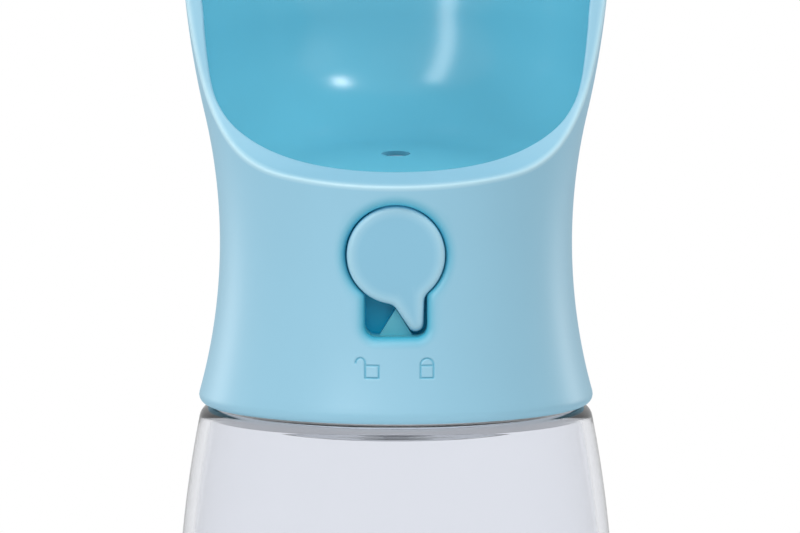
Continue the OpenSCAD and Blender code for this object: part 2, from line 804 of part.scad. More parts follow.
module button_spring() {
  color(steel)
  on_button() translate([0, -well_floor_d - seat_gap, 0]) rotate([90, 0, 0])
    spring(button_spring_r, cap_inner_d - well_floor_d - 2 * seat_gap, button_coils);
}
bottle();
neck_gasket();
screw_ring();
head_shell();
drinking_bowl();
valve_deck();
deck_screws();
stem_guide();
valve_chamber();
chamber_seal();
valve_stem();
valve_plug();
plug_washer();
plug_clip();
valve_spring();
button_cap();
button_housing();
housing_screws();
push_rod();
rod_clip();
rod_bush();
rod_seal();
gland_cap();
button_spring();
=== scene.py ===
import json
import math

import bmesh
import bpy
import numpy as np
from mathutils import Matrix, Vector


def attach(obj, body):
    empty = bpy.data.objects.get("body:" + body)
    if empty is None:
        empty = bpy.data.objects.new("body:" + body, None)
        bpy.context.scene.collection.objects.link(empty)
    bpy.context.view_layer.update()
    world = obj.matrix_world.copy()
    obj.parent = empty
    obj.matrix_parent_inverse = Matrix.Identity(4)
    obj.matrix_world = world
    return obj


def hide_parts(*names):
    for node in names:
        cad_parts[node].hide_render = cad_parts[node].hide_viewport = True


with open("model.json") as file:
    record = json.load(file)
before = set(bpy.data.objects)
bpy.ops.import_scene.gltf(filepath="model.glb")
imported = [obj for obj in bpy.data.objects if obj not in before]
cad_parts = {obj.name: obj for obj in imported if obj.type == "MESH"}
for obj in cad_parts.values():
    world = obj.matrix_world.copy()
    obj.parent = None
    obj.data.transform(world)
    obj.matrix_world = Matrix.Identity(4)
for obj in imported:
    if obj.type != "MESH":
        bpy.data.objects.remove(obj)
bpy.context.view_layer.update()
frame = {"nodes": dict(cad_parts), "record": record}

# Sizes, in millimetres

# Head: a hollow waist, bulging scoop sides, a rounded crown
HEAD_FOOT_Z = 100.0
HEAD_H = 105.0
WAIST_R = 28.85
WAIST_Z = HEAD_FOOT_Z + 26.6
WAIST_CURVE_R = 92.0
FLARE_ANGLE = math.radians(13.2)
SCOOP_CURVE_R = 150.0
CROWN_R = 45.0
CROWN_ROUND = 14.0
COLLAR_ROUND = 1.5
SHELL_WALL = 2.2
BAY_TOP_Z = 135.85

# Scoop rim, as lines in the middle plane
RIM_FRONT = np.array([-29.3, HEAD_FOOT_Z + 38.5])
RIM_FRONT_SLOPE = math.radians(12.4)
RIM_SIDE = np.array([-4.0, HEAD_FOOT_Z + 66.0])
RIM_SIDE_LEAN = math.radians(15.6)
RIM_ROUND = 22.0
RIM_WALL = 2.55
RIM_OUTER_EDGE, RIM_INNER_EDGE = 0.45, 0.3
# Painted highlight along the rim's outer edge: its strength and width
RIM_PAINTED_HIGHLIGHT, RIM_PAINTED_HIGHLIGHT_W = 1.8, 0.9
# The scoop's wall is thinner below this height, by so much at the end of the range
WALL_THIN, THIN_FROM_Z, THIN_RANGE = 1.37, 165.0, 14.0

# Bowl: a trough for the sides and one for the front, which both give way higher up
FLOOR_Z = HEAD_FOOT_Z + 40.4
FLOOR_TILT = math.radians(5.2)
OUTLET_Y = 5.0
OUTLET_R = 2.4
SIDE_WALL_R, SIDE_FLOOR_ROUND = 32.1, 18.6
FRONT_WALL_R, FRONT_FLOOR_ROUND = 35.2, 6.9
FRONT_REACH = 25.55
FRONT_AXIS_Y = FRONT_WALL_R - FRONT_REACH
LINER_T = 0.8
LINER_GAP = 0.05
LIP_H = 0.35
BOWL_BLEND = 1.2
TROUGH_FADE, TROUGH_GIVE = 16.0, 9.0

# Button, its opening and the window under it
BUTTON_Z = HEAD_FOOT_Z + 27.1
BUTTON_R = 7.95
BUTTON_FACE_Y = -28.2
BUTTON_T = 3.2
BUTTON_FACE_T, BUTTON_SKIRT = 1.6, 1.2
BUTTON_EDGE, BUTTON_BACK_EDGE = 0.9, 0.4
# Width of the painted highlight round the edge of the button's face
BUTTON_PAINTED_HIGHLIGHT_W = 1.9
ROD_R, ROD_HOLE_R = 2.4, 2.45
OPENING_R = 8.08
OPENING_PLAY = (-0.05, 0.08)
OPENING_FILLET = 1.6
WINDOW_HALF_W = 5.0
WINDOW_DROP = 13.2
WINDOW_ROUND = 1.8
OPENING_BLEND = 0.5
# Width of the painted shade round the button's opening
OPENING_SHADE_W = 2.0
POCKET_FLOOR_D, SHELF_D = 22.3, 24.5
POINTER_TIP_R = 1.3
POINTER_TIP_D = 11.5
POINTER_HALF_ANGLE = math.radians(17.5)
POINTER_SWING = math.radians(16)
POINTER_ROOT_BLEND = 0.8

# Padlock marks, cut into the shell
MARK_FOOT_Z = HEAD_FOOT_Z + 7.5
MARK_GROOVE_W = 0.5
MARK_GROOVE_D = 0.2
# How strong the painted shade in the marks' grooves is
MARK_PAINTED_SHADE = 0.75
OPEN_LOCK = (-4.97, -2.77)
CLOSED_LOCK = (3.98, 6.07)
LOCK_BODY_H = 1.97
OPEN_SHACKLE_R, OPEN_SHACKLE_H = 0.76, 0.43
CLOSED_SHACKLE_H = 0.1

# How the meshes are made
MM = 0.001
WELD = 2e-4
SHARP_ANGLE = math.radians(40)
CURVE_STEPS, SKIN_STEPS, RIM_STEPS = 600, 1500, 4000
EDGE_STEPS = 8


# Small helpers

def unit2(a):
    """The direction at the angle a."""
    return np.array([math.cos(a), math.sin(a)])


def angle_to(a, b):
    """The angle of the line from a to b."""
    return math.atan2(b[1] - a[1], b[0] - a[0])


def meet(a, ra, b, rb):
    """The right-hand point where two circles meet."""
    d = np.linalg.norm(b - a)
    t = (d * d + ra * ra - rb * rb) / (2 * d)
    k = math.sqrt(ra * ra - t * t)
    u = (b - a) / d
    p = a + t * u
    side = np.array([u[1], -u[0]]) * k
    return max(p + side, p - side, key=lambda q: q[0])


def smooth_min(a, b, k):
    """The lesser of a and b, blended where they are closer than k."""
    h = np.clip(0.5 + 0.5 * (b - a) / k, 0.0, 1.0)
    return b * (1 - h) + a * h - k * h * (1 - h)


def smooth_max(a, b, k):
    """The greater of a and b, blended where they are closer than k."""
    return -smooth_min(-a, -b, k)


def normalised(v):
    """Vectors of length one."""
    return v / np.linalg.norm(v, axis=-1, keepdims=True)


def keep_painted_light(obj, measure):
    """Stores on each point, in the attribute hollow, how much painted shade it takes in a crease; below zero,
    how much painted highlight near an edge.
    """
    mesh = obj.data
    place = np.empty(len(mesh.vertices) * 3)
    mesh.vertices.foreach_get("co", place)
    kept = mesh.attributes.new("hollow", "FLOAT", "POINT")
    kept.data.foreach_set("value", measure(place.reshape(-1, 3) / MM).astype(np.float32))


def feed(tree, node, links):
    """Links sockets to a node's inputs, or sets the inputs' values."""
    for label, source in links:
        if hasattr(source, "is_linked"):
            tree.links.new(source, node.inputs[label])
        else:
            node.inputs[label].default_value = source


def add_node(tree, kind, links=(), **settings):
    """A node with its settings and what feeds it."""
    node = tree.nodes.new(kind)
    for label, value in settings.items():
        setattr(node, label, value)
    feed(tree, node, links)
    return node


def math_node(tree, operation, a, b):
    """The result of an operation on two values or sockets."""
    return add_node(tree, "ShaderNodeMath", [(0, a), (1, b)], operation=operation).outputs[0]


class Form:
    """Grids of points, in millimetres, that become one closed mesh."""

    def __init__(self):
        self.points, self.faces, self.count = [], [], 0

    def grid(self, p, skip=None):
        """Adds rows of points that go all the way round; skip tells the faces that stay out."""
        rows, cols = p.shape[:2]
        index = np.arange(rows * cols).reshape(rows, cols) + self.count
        self.points.append(p.reshape(-1, 3))
        self.count += rows * cols
        j, i = np.meshgrid(np.arange(rows - 1), np.arange(cols), indexing="ij")
        k = (i + 1) % cols
        quads = np.stack([index[j, i], index[j, k], index[j + 1, k], index[j + 1, i]], axis=-1)
        if skip is not None:
            quads = quads[~skip[:rows - 1]]
        self.faces.extend(quads.reshape(-1, 4).tolist())

    def disc(self, ring):
        """Closes a ring of points with one flat face."""
        self.points.append(ring)
        self.faces.append(list(range(self.count, self.count + len(ring))))
        self.count += len(ring)

    def piece(self, name, material, body, slot, replaced):
        """The mesh as an object that rides on a body and stands in for a node."""
        points = np.concatenate(self.points)
        _, first, back = np.unique(
            np.round(points / WELD).astype(np.int64), axis=0, return_index=True, return_inverse=True)
        back = back.reshape(-1)
        faces = []
        for f in self.faces:
            q = [int(back[v]) for v in f]
            q = [v for n, v in enumerate(q) if v != q[n - 1]]
            if len(q) >= 3 and len(set(q)) == len(q):
                faces.append(q)
        mesh = bpy.data.meshes.new(name)
        mesh.from_pydata((points[first] * MM).tolist(), [], faces)
        bm = bmesh.new()
        bm.from_mesh(mesh)
        bmesh.ops.recalc_face_normals(bm, faces=bm.faces)
        for f in bm.faces:
            f.smooth = True
        bm.to_mesh(mesh)
        bm.free()
        obj = bpy.data.objects.new(name, mesh)
        bpy.context.scene.collection.objects.link(obj)
        mesh.materials.append(material)
        mesh.set_sharp_from_angle(angle=SHARP_ANGLE)
        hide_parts(replaced)
        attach(obj, body)
        return obj


# The head's side curve

HOLLOW_C = np.array([WAIST_R + WAIST_CURVE_R, WAIST_Z])
BULGE_C = HOLLOW_C + (WAIST_CURVE_R + SCOOP_CURVE_R) * np.array(
    [-math.cos(FLARE_ANGLE), math.sin(FLARE_ANGLE)])
CROWN_C = np.array([0.0, HEAD_FOOT_Z + HEAD_H - CROWN_R])
CROWN_ROUND_C = meet(BULGE_C, SCOOP_CURVE_R - CROWN_ROUND, CROWN_C, CROWN_R - CROWN_ROUND)
COLLAR_C = np.array([
    HOLLOW_C[0] - math.sqrt((WAIST_CURVE_R + COLLAR_ROUND) ** 2
                            - (WAIST_Z - HEAD_FOOT_Z - COLLAR_ROUND) ** 2),
    HEAD_FOOT_Z + COLLAR_ROUND])


def arc(c, r, a1, a2, n):
    """Points on a circle from the angle a1 to a2."""
    a = np.linspace(a1, a2, n)[:, None]
    return c + r * np.concatenate([np.cos(a), np.sin(a)], axis=1)


class SideCurve:
    """The head's side curve drawn in by inset, looked up by its length from the collar."""

    def __init__(self, inset, start_angle=None):
        to_round = angle_to(BULGE_C, CROWN_ROUND_C)
        to_crown = angle_to(CROWN_C, CROWN_ROUND_C)
        low = math.asin((HEAD_FOOT_Z - WAIST_Z) / (WAIST_CURVE_R + inset))
        if start_angle is not None:
            low = start_angle
        p = np.concatenate([
            arc(HOLLOW_C, WAIST_CURVE_R + inset, math.pi - low, math.pi - FLARE_ANGLE, CURVE_STEPS),
            arc(BULGE_C, SCOOP_CURVE_R - inset, -FLARE_ANGLE, to_round, CURVE_STEPS)[1:],
            arc(CROWN_ROUND_C, CROWN_ROUND - inset, to_round, to_crown, CURVE_STEPS)[1:],
            arc(CROWN_C, CROWN_R - inset, to_crown, math.pi / 2, CURVE_STEPS)[1:]])
        self.r, self.z = p[:, 0], p[:, 1]
        self.s = np.concatenate([[0], np.cumsum(np.linalg.norm(np.diff(p, axis=0), axis=1))])
        self.tangent = np.gradient(p, self.s, axis=0)

    def at(self, s):
        """Radius and height at the length s."""
        return np.interp(s, self.s, self.r), np.interp(s, self.s, self.z)

    def length_at_z(self, z):
        """Length along the curve at the height z."""
        return np.interp(z, self.z, self.s)

    def radius_at_z(self, z):
        """Radius at the height z."""
        return np.interp(z, self.z, self.r)

    def point(self, theta, s):
        """A point of the skin; theta is 0 at the front and grows to the right."""
        r, z = self.at(s)
        return np.stack([r * np.sin(theta), -r * np.cos(theta), z + 0 * theta], axis=-1)

    def frame(self, theta, s):
        """Outward normal, tangent up the side and tangent round the head."""
        tr = np.interp(s, self.s, self.tangent[:, 0])
        tz = np.interp(s, self.s, self.tangent[:, 1])
        sin, cos = np.sin(theta), np.cos(theta)
        up = normalised(np.stack([tr * sin, -tr * cos, tz], axis=-1))
        turn = np.stack([cos, sin, 0 * theta], axis=-1)
        return normalised(np.cross(turn, up)), up, turn


skin = SideCurve(0.0, -angle_to(COLLAR_C, HOLLOW_C))
bay = SideCurve(SHELL_WALL)


# The rim

FRONT_U = unit2(RIM_FRONT_SLOPE)
SIDE_U = np.array([math.sin(RIM_SIDE_LEAN), math.cos(RIM_SIDE_LEAN)])
FRONT_N = np.array([-FRONT_U[1], FRONT_U[0]])
SIDE_N = np.array([-SIDE_U[1], SIDE_U[0]])


def cross2(a, b):
    """The cross product in the plane."""
    return a[0] * b[1] - a[1] * b[0]


RIM_CORNER = RIM_FRONT + FRONT_U * cross2(RIM_SIDE - RIM_FRONT, SIDE_U) / cross2(FRONT_U, SIDE_U)
RIM_BEND = math.pi / 2 - RIM_FRONT_SLOPE - RIM_SIDE_LEAN
RIM_C = RIM_CORNER + (FRONT_N + SIDE_N) * RIM_ROUND / (1 + FRONT_N @ SIDE_N)
RIM_ARC_L = RIM_ROUND * RIM_BEND


def rim_depth(y, z):
    """How far a point lies in the cut-away space in front of the rim."""
    q = np.stack([y, z], axis=-1)
    front = (q - RIM_CORNER) @ FRONT_N
    side = (q - RIM_CORNER) @ SIDE_N
    rel = q - RIM_C
    in_bend = (rel @ FRONT_U > 0) & (rel @ SIDE_U < 0)
    return np.where(in_bend, RIM_ROUND - np.linalg.norm(rel, axis=-1), np.minimum(front, side))


def rim_length(y, z):
    """Length along the rim's profile, zero where its bend begins."""
    rel = np.stack([y, z], axis=-1) - RIM_C
    ahead, above = rel @ FRONT_U, rel @ SIDE_U
    turn = np.arctan2(ahead, -(rel @ FRONT_N))
    return np.where(ahead < 0, ahead, np.where(above > 0, RIM_ARC_L + above, RIM_ROUND * turn))


def rim_point(x, w):
    """Point and outward normal of the rim's face at x and at the length w."""
    a = np.clip(w / RIM_ROUND, 0, RIM_BEND)
    n = np.cos(a)[..., None] * FRONT_N - np.sin(a)[..., None] * FRONT_U
    along = np.cos(a)[..., None] * FRONT_U + np.sin(a)[..., None] * FRONT_N
    extra = w - np.clip(w, 0, RIM_ARC_L)
    q = RIM_C - RIM_ROUND * n + extra[..., None] * along
    p = np.concatenate([x[..., None], q], axis=-1)
    return p, np.concatenate([0 * x[..., None], n], axis=-1)


# The bowl's inside

CORE = np.array([0.0, -8.0, 160.0])
NORMAL_STEP = 0.01
POCKET_G = LINER_T + LINER_GAP
bowl_curves = {g: SideCurve(RIM_WALL - g) for g in (0.0, LINER_T, POCKET_G)}


def trough(x, y, z, axis_y, r, round_r, g):
    """Signed distance to a round trough with a flat floor and a rounded lower edge."""
    reach = np.hypot(x, y - axis_y) - (r - round_r)
    drop = round_r - z
    corner = np.hypot(np.maximum(reach, 0), np.maximum(drop, 0)) - round_r
    inside = np.where(reach > 0, reach - round_r, np.maximum(reach - round_r, -z))
    return np.where((drop > 0) & (reach > 0), corner, inside) - g


def bowl_depth(p, g):
    """Signed distance to the bowl's inside, grown by g; negative inside."""
    x, y, z = p[..., 0], p[..., 1], p[..., 2]
    thinner = WALL_THIN * np.clip((THIN_FROM_Z - z) / THIN_RANGE, 0, 1)
    side = (np.hypot(x, y) - bowl_curves[g].radius_at_z(z) - thinner) * math.cos(FLARE_ANGLE / 2)
    dy, dz = y - OUTLET_Y, z - FLOOR_Z
    ty = dy * math.cos(FLOOR_TILT) + dz * math.sin(FLOOR_TILT)
    tz = dz * math.cos(FLOOR_TILT) - dy * math.sin(FLOOR_TILT)
    walls = smooth_max(
        trough(x, ty, tz, -OUTLET_Y, SIDE_WALL_R, SIDE_FLOOR_ROUND, g),
        trough(x, ty, tz, FRONT_AXIS_Y - OUTLET_Y, FRONT_WALL_R, FRONT_FLOOR_ROUND, g), BOWL_BLEND / 2)
    faded = np.clip((tz - SIDE_FLOOR_ROUND) / TROUGH_FADE, 0, 1) ** 2
    return smooth_max(side, walls - TROUGH_GIVE * faded, BOWL_BLEND)


def bisect(f, lo, hi, steps=40):
    """Where f turns from negative to positive between lo and hi."""
    for _ in range(steps):
        mid = (lo + hi) / 2
        above = f(mid) > 0
        lo, hi = np.where(above, lo, mid), np.where(above, mid, hi)
    return (lo + hi) / 2


def bowl_hit(u, g):
    """Where rays from the bowl's core along u reach the bowl's surface, grown by g."""
    t = bisect(lambda t: bowl_depth(CORE + t[..., None] * u, g), np.zeros(u.shape[:-1]),
               np.full(u.shape[:-1], CROWN_R + HEAD_H / 2))
    return CORE + t[..., None] * u


def bowl_normal(p, g):
    """Direction out of the bowl's inside into its wall."""
    steps = NORMAL_STEP * np.eye(3)
    return normalised(np.stack([bowl_depth(p + e, g) - bowl_depth(p - e, g) for e in steps], axis=-1))


# The head's columns

def skin_crossing(theta):
    """Length up the skin at which it meets the rim, for each direction round the axis."""
    start = skin.length_at_z(np.array(BUTTON_Z))
    s = np.linspace(start, skin.s[-1] - 0.01, SKIN_STEPS)
    p = skin.point(theta[:, None], s[None, :])
    out = rim_depth(p[..., 1], p[..., 2]) > 0
    first = np.argmax(out, axis=1)
    lo, hi = s[np.maximum(first - 1, 0)], s[first]

    def depth(t):
        """The rim's depth at the length t up each direction."""
        q = skin.point(theta, t)
        return rim_depth(q[..., 1], q[..., 2])
    return bisect(depth, lo, hi)


# Columns lie close together at the marks, and from the opening's patch on go by turn and length
FINE_X, FINE_STEP = 6.9, 0.1
OPENING_X, OPENING_COLUMNS = 11.9, 8
COLUMN_TURN, COLUMN_GAP = math.radians(3.4), 1.7


def half_columns():
    """Directions of the columns from the front to the back: fine at the marks, even elsewhere."""
    fine_end = math.asin(FINE_X / WAIST_R)
    opening_end = math.asin(OPENING_X / WAIST_R)
    fine = np.arange(0, fine_end, FINE_STEP / WAIST_R)
    near = np.linspace(fine[-1], opening_end, OPENING_COLUMNS)[1:]
    t = np.linspace(opening_end, math.pi, RIM_STEPS)
    p = skin.point(t, skin_crossing(t))
    along = np.linalg.norm(np.diff(p, axis=0), axis=1)
    turn = np.diff(t)
    measure = np.concatenate([[0], np.cumsum(turn / COLUMN_TURN + along / COLUMN_GAP)])
    rest = np.interp(np.linspace(0, measure[-1], int(measure[-1]) + 2), measure, t)[1:]
    return np.concatenate([fine, near, rest]), len(fine) + len(near) - 1


half, opening_end_column = half_columns()
theta = np.concatenate([half, -half[-2:0:-1]])
COLUMNS = len(theta)
cross_s = skin_crossing(theta)
cross = skin.point(theta, cross_s)
loop_w = rim_length(cross[:, 1], cross[:, 2])

# The inner edge, on rays from the middle of the rim's unrolled face
RIM_MIDDLE = np.array([-8.0, 165.0])
MIDDLE_W = float(rim_length(*RIM_MIDDLE))
outer_flat = np.stack([cross[:, 0], loop_w - MIDDLE_W], axis=-1)


def on_rim(f):
    """Point and normal of the rim's face at the fraction f of the way to its outer edge."""
    return rim_point(f * outer_flat[:, 0], MIDDLE_W + f * outer_flat[:, 1])


inner_f = bisect(lambda f: bowl_depth(on_rim(f)[0], 0.0), np.full(COLUMNS, 0.3), np.ones(COLUMNS))
inner_edge, rim_n_in = on_rim(inner_f)
_, rim_n_out = on_rim(np.ones(COLUMNS))
skin_n, skin_up, skin_turn = skin.frame(theta, cross_s)


def rounding(p, n1, n2, r, steps):
    """An arc of radius r that rounds the edge p between faces with the normals n1 and n2."""
    c = p - r * (n1 + n2) / (1 + np.sum(n1 * n2, axis=-1, keepdims=True))
    angle = np.arccos(np.clip(np.sum(n1 * n2, axis=-1), -1, 1))[:, None]
    rows = []
    for k in range(steps + 1):
        f = k / steps
        n = (np.sin((1 - f) * angle) * n1 + np.sin(f * angle) * n2) / np.sin(angle)
        rows.append(c + r * n)
    return np.stack(rows)


outer_round = rounding(cross, skin_n, rim_n_out, RIM_OUTER_EDGE, 6)
# The rounding starts on the skin itself
move = outer_round[0] - cross
top_theta = theta + np.sum(move * skin_turn, axis=1) / np.hypot(cross[:, 0], cross[:, 1])
top_s = cross_s + np.sum(move * skin_up, axis=1)
outer_round[0] = skin.point(top_theta, top_s)
inner_round = rounding(inner_edge, rim_n_in, -bowl_normal(inner_edge, 0.0), RIM_INNER_EDGE, 3)


# Opening and marks

def box_depth(x, z, half_w, half_h, r):
    """Signed distance to a box with rounded corners."""
    qx, qz = np.abs(x) - half_w + r, np.abs(z) - half_h + r
    return np.hypot(np.maximum(qx, 0), np.maximum(qz, 0)) + np.minimum(np.maximum(qx, qz), 0) - r


def opening_depth(x, z):
    """Signed distance to the button's opening with its window, about the button's centre."""
    window = box_depth(x, z + WINDOW_DROP / 2, WINDOW_HALF_W, WINDOW_DROP / 2, WINDOW_ROUND)
    round_hole = np.hypot(x - OPENING_PLAY[0], z - OPENING_PLAY[1]) - OPENING_R
    return smooth_min(round_hole, window, OPENING_BLEND)


def line_gap(x, z, a, b):
    """Distance from the straight line between a and b."""
    dx, dz = b[0] - a[0], b[1] - a[1]
    t = np.clip(((x - a[0]) * dx + (z - a[1]) * dz) / (dx * dx + dz * dz), 0, 1)
    return np.hypot(x - a[0] - t * dx, z - a[1] - t * dz)


def arch_gap(x, z, c, r):
    """Distance from a half circle that opens downwards."""
    dx, dz = x - c[0], z - c[1]
    ends = np.minimum(np.hypot(dx - r, dz), np.hypot(dx + r, dz))
    return np.where(dz > 0, np.abs(np.hypot(dx, dz) - r), ends)


def groove_gap(x, z):
    """Distance from the lines of the two padlocks, cut above the collar."""
    foot, top = MARK_FOOT_Z, MARK_FOOT_Z + LOCK_BODY_H
    gaps = []
    for left, right in (OPEN_LOCK, CLOSED_LOCK):
        corners = [(left, foot), (right, foot), (right, top), (left, top)]
        gaps += [line_gap(x, z, corners[k - 1], corners[k]) for k in range(4)]
    hinge = (OPEN_LOCK[0], top + OPEN_SHACKLE_H)
    gaps.append(line_gap(x, z, (OPEN_LOCK[0], top), hinge))
    gaps.append(arch_gap(x, z, (hinge[0] - OPEN_SHACKLE_R, hinge[1]), OPEN_SHACKLE_R))
    arch_r = (CLOSED_LOCK[1] - CLOSED_LOCK[0]) / 2
    gaps.append(arch_gap(x, z, (CLOSED_LOCK[0] + arch_r, top + CLOSED_SHACKLE_H), arch_r))
    return np.minimum.reduce(gaps)


# Head shell

def ring_rows(curve_rz):
    """Rows of points all the way round, from radii and heights."""
    return np.stack([np.stack([r * np.sin(theta), -r * np.cos(theta), z + 0 * theta], axis=-1)
                     for r, z in curve_rz])


def outlet_ring(z=None):
    """The outlet's edge, one point to a column; on the bowl's floor if z isn't given."""
    beta = np.arctan2(outer_flat[:, 0], -outer_flat[:, 1])
    x, y = OUTLET_R * np.sin(beta), OUTLET_Y - OUTLET_R * np.cos(beta)
    if z is None:
        z = FLOOR_Z + (y - OUTLET_Y) * math.tan(FLOOR_TILT)
    return np.stack([x, y, z + 0 * x], axis=-1)


def bowl_rows(lengths, g):
    """Rows across the bowl at these fractions of the way from the rim to the outlet."""
    a, b = normalised(inner_edge - CORE), normalised(outlet_ring() - CORE)
    angle = np.arccos(np.clip(np.sum(a * b, axis=1), -1, 1))[:, None]
    rows = []
    for f in lengths:
        f = np.asarray(f).reshape(-1, 1)
        u = (np.sin((1 - f) * angle) * a + np.sin(f * angle) * b) / np.sin(angle)
        rows.append(bowl_hit(normalised(u), g))
    return np.stack(rows)


# The fraction that is LIP_H long, worked out for each column
FIRST_STEP = 0.02
step_l = np.linalg.norm(bowl_rows([FIRST_STEP], 0.0)[0] - inner_edge, axis=1)
lip_f = FIRST_STEP * LIP_H / step_l
seam_f = FIRST_STEP * (LIP_H + LINER_GAP) / step_l


def opening_loop(rows, first, last):
    """The border of the rows' patch at the opening: along its foot, up, back and down."""
    e = opening_end_column
    cols = np.arange(-e, e + 1)
    foot = rows[first, cols]
    top = rows[last, cols[::-1]]
    return np.concatenate([foot, rows[first + 1:last, e], top, rows[first + 1:last, -e][::-1]])


def on_side(x, z, curve, inset=0.0):
    """Points of a side curve's front at x and z, sunk by inset."""
    return np.stack([x, inset - np.sqrt(curve.radius_at_z(z) ** 2 - x * x), z], axis=-1)


# The rays that shape the opening start a little below its middle
EYE_Z = BUTTON_Z - 3.0


def opening_rays(border):
    """Directions from inside the opening to the border's points."""
    d = np.stack([border[:, 0], border[:, 2] - EYE_Z], axis=-1)
    reach = np.linalg.norm(d, axis=1)
    return d / reach[:, None], reach


def opening_ring(rays, reach, level):
    """Where the rays cross the opening's outline, grown by level, as x and z."""
    t = bisect(lambda t: opening_depth(t * rays[:, 0], EYE_Z - BUTTON_Z + t * rays[:, 1]) - level,
               0 * reach, reach)
    return t * rays[:, 0], EYE_Z + t * rays[:, 1]


MARKS_LOW, MARKS_HIGH = MARK_FOOT_Z - 0.4, MARK_FOOT_Z + 3.6
PATCH_LOW, PATCH_HIGH = MARKS_HIGH + 0.25, 137.3
PATCH_ROWS, UPPER_ROWS, POCKET_ROWS = 27, 60, 26
CEILING_STEP = 0.2
COLLAR = arc(COLLAR_C, COLLAR_ROUND, -math.pi / 2, angle_to(COLLAR_C, HOLLOW_C), 7)


def patch_skip(rows, first):
    """Leaves out the faces where the opening's patch goes, up from the row first."""
    skip = np.zeros((rows, COLUMNS), bool)
    patch = slice(first, first + PATCH_ROWS - 1)
    skip[patch, :opening_end_column] = True
    skip[patch, -opening_end_column:] = True
    return skip


def blends(a, b, steps):
    """Rows from a to b in even steps."""
    return [(1 - k) * a + k * b for k in np.linspace(0, 1, steps)]


def along_side(edge, border, curve, steps):
    """Rows on a side curve from the opening's edge to the patch's border."""
    rows = [on_side(mix[:, 0], mix[:, 2], curve) for mix in blends(edge, border, steps)]
    rows[0], rows[-1] = edge, border
    return rows


def shell_outside(form):
    """The outside up to the rim, with the marks cut in; gives the border of the opening's patch."""
    low_z = np.linspace(skin.z[0], MARKS_LOW, 7)[1:]
    marks_z = np.arange(MARKS_LOW, MARKS_HIGH, FINE_STEP)[1:]
    z = np.concatenate([low_z, marks_z, np.linspace(PATCH_LOW, PATCH_HIGH, PATCH_ROWS)])
    side = ring_rows(np.stack([skin.radius_at_z(z), z], axis=-1))
    groove = np.minimum(groove_gap(side[..., 0], side[..., 2]) / (MARK_GROOVE_W / 2), 1)
    front = np.abs(theta) < math.pi / 4
    side[..., 1] += np.where(front, MARK_GROOVE_D * np.cos(groove * math.pi / 2) ** 2, 0)
    rows = np.concatenate([ring_rows(COLLAR[-1:]), side])
    first = len(rows) - PATCH_ROWS
    form.grid(ring_rows(COLLAR))
    form.grid(rows, skip=patch_skip(len(rows), first))
    # From the last level row to the rim, along the skin
    base_s = skin.length_at_z(PATCH_HIGH)
    f = np.linspace(0, 1, UPPER_ROWS)[:, None]
    upper = skin.point(theta + f * (top_theta - theta), base_s + f * (top_s - base_s))
    upper[0], upper[-1] = side[-1], outer_round[0]
    form.grid(upper)
    return opening_loop(rows, first, len(rows) - 1)


def shell_rim(form):
    """The rim's face between its two rounded edges."""
    form.grid(outer_round)
    start, end = outer_round[-1], inner_round[0]
    flat = [np.stack([p[:, 0], rim_length(p[:, 1], p[:, 2])]) for p in (start, end)]
    face = [rim_point(*mix)[0] for mix in blends(*flat, 6)]
    face[0], face[-1] = start, end
    form.grid(np.stack(face))
    form.grid(inner_round)


def shell_pocket(form):
    """The lip over the liner and the pocket that holds it; gives the outlet's lower edge."""
    lip = bowl_rows([lip_f], 0.0)
    pocket = bowl_rows([lip_f + (1 - lip_f) * k for k in np.linspace(0, 1, POCKET_ROWS)], POCKET_G)
    ceiling = outlet_ring(BAY_TOP_Z)
    form.grid(np.concatenate([inner_round[-1:], lip]))
    form.grid(np.concatenate([lip, pocket]))
    form.grid(np.stack([pocket[-1], ceiling]))
    return ceiling


def shell_bay(form, ceiling):
    """The hollow inside, with a row for each row of the opening's patch; gives the patch's border."""
    rise = np.linspace(HEAD_FOOT_Z, PATCH_LOW, 6)[:-1]
    inner_z = np.linspace(PATCH_LOW, BAY_TOP_Z - CEILING_STEP, PATCH_ROWS)
    z = np.concatenate([rise, inner_z, [BAY_TOP_Z]])
    hollow = ring_rows(np.stack([bay.radius_at_z(z), z], axis=-1))
    form.grid(hollow, skip=patch_skip(len(hollow), len(rise)))
    form.grid(np.stack([hollow[-1], ceiling]))
    form.grid(np.stack([hollow[0], ring_rows(COLLAR[:1])[0]]))
    return opening_loop(hollow, len(rise), len(rise) + PATCH_ROWS - 1)


def shell_opening(form, border, inner_border):
    """The opening's flared edge and wall, and the patches that carry it on both sides."""
    rays, reach = opening_rays(border)
    flare = []
    for a in np.linspace(0, math.pi / 2, EDGE_STEPS):
        x, z = opening_ring(rays, reach, OPENING_FILLET * (1 - math.cos(a)))
        flare.append(on_side(x, z, skin, OPENING_FILLET * (1 - math.sin(a))))
    x, z = opening_ring(rays, reach, 0.0)
    wall_end = on_side(x, z, bay)
    form.grid(np.stack(flare[:-1] + along_side(flare[-1], border, skin, 6)))
    form.grid(np.stack(blends(flare[0], wall_end, 4)))
    form.grid(np.stack(along_side(wall_end, inner_border, bay, 4)))


def front_painted_shade(p):
    """How deep a point lies in the opening's flared edge or in a mark's groove, as painted shade."""
    opening_shade = np.clip(1 - opening_depth(p[:, 0], p[:, 2] - BUTTON_Z) / OPENING_SHADE_W, 0, 1)
    marks = np.clip(1 - groove_gap(p[:, 0], p[:, 2]) / (MARK_GROOVE_W / 2), 0, 1) * MARK_PAINTED_SHADE
    return np.where(p[:, 1] < 0, np.maximum(opening_shade, marks), 0.0)


def rim_edge_painted_highlight(p):
    """How close a point lies to the rim's outer edge, as a painted highlight."""
    from_skin = skin.radius_at_z(p[:, 2]) - np.hypot(p[:, 0], p[:, 1])
    gap = np.hypot(from_skin, rim_depth(p[:, 1], p[:, 2]))
    return np.clip(1 - gap / RIM_PAINTED_HIGHLIGHT_W, 0, 1) * RIM_PAINTED_HIGHLIGHT


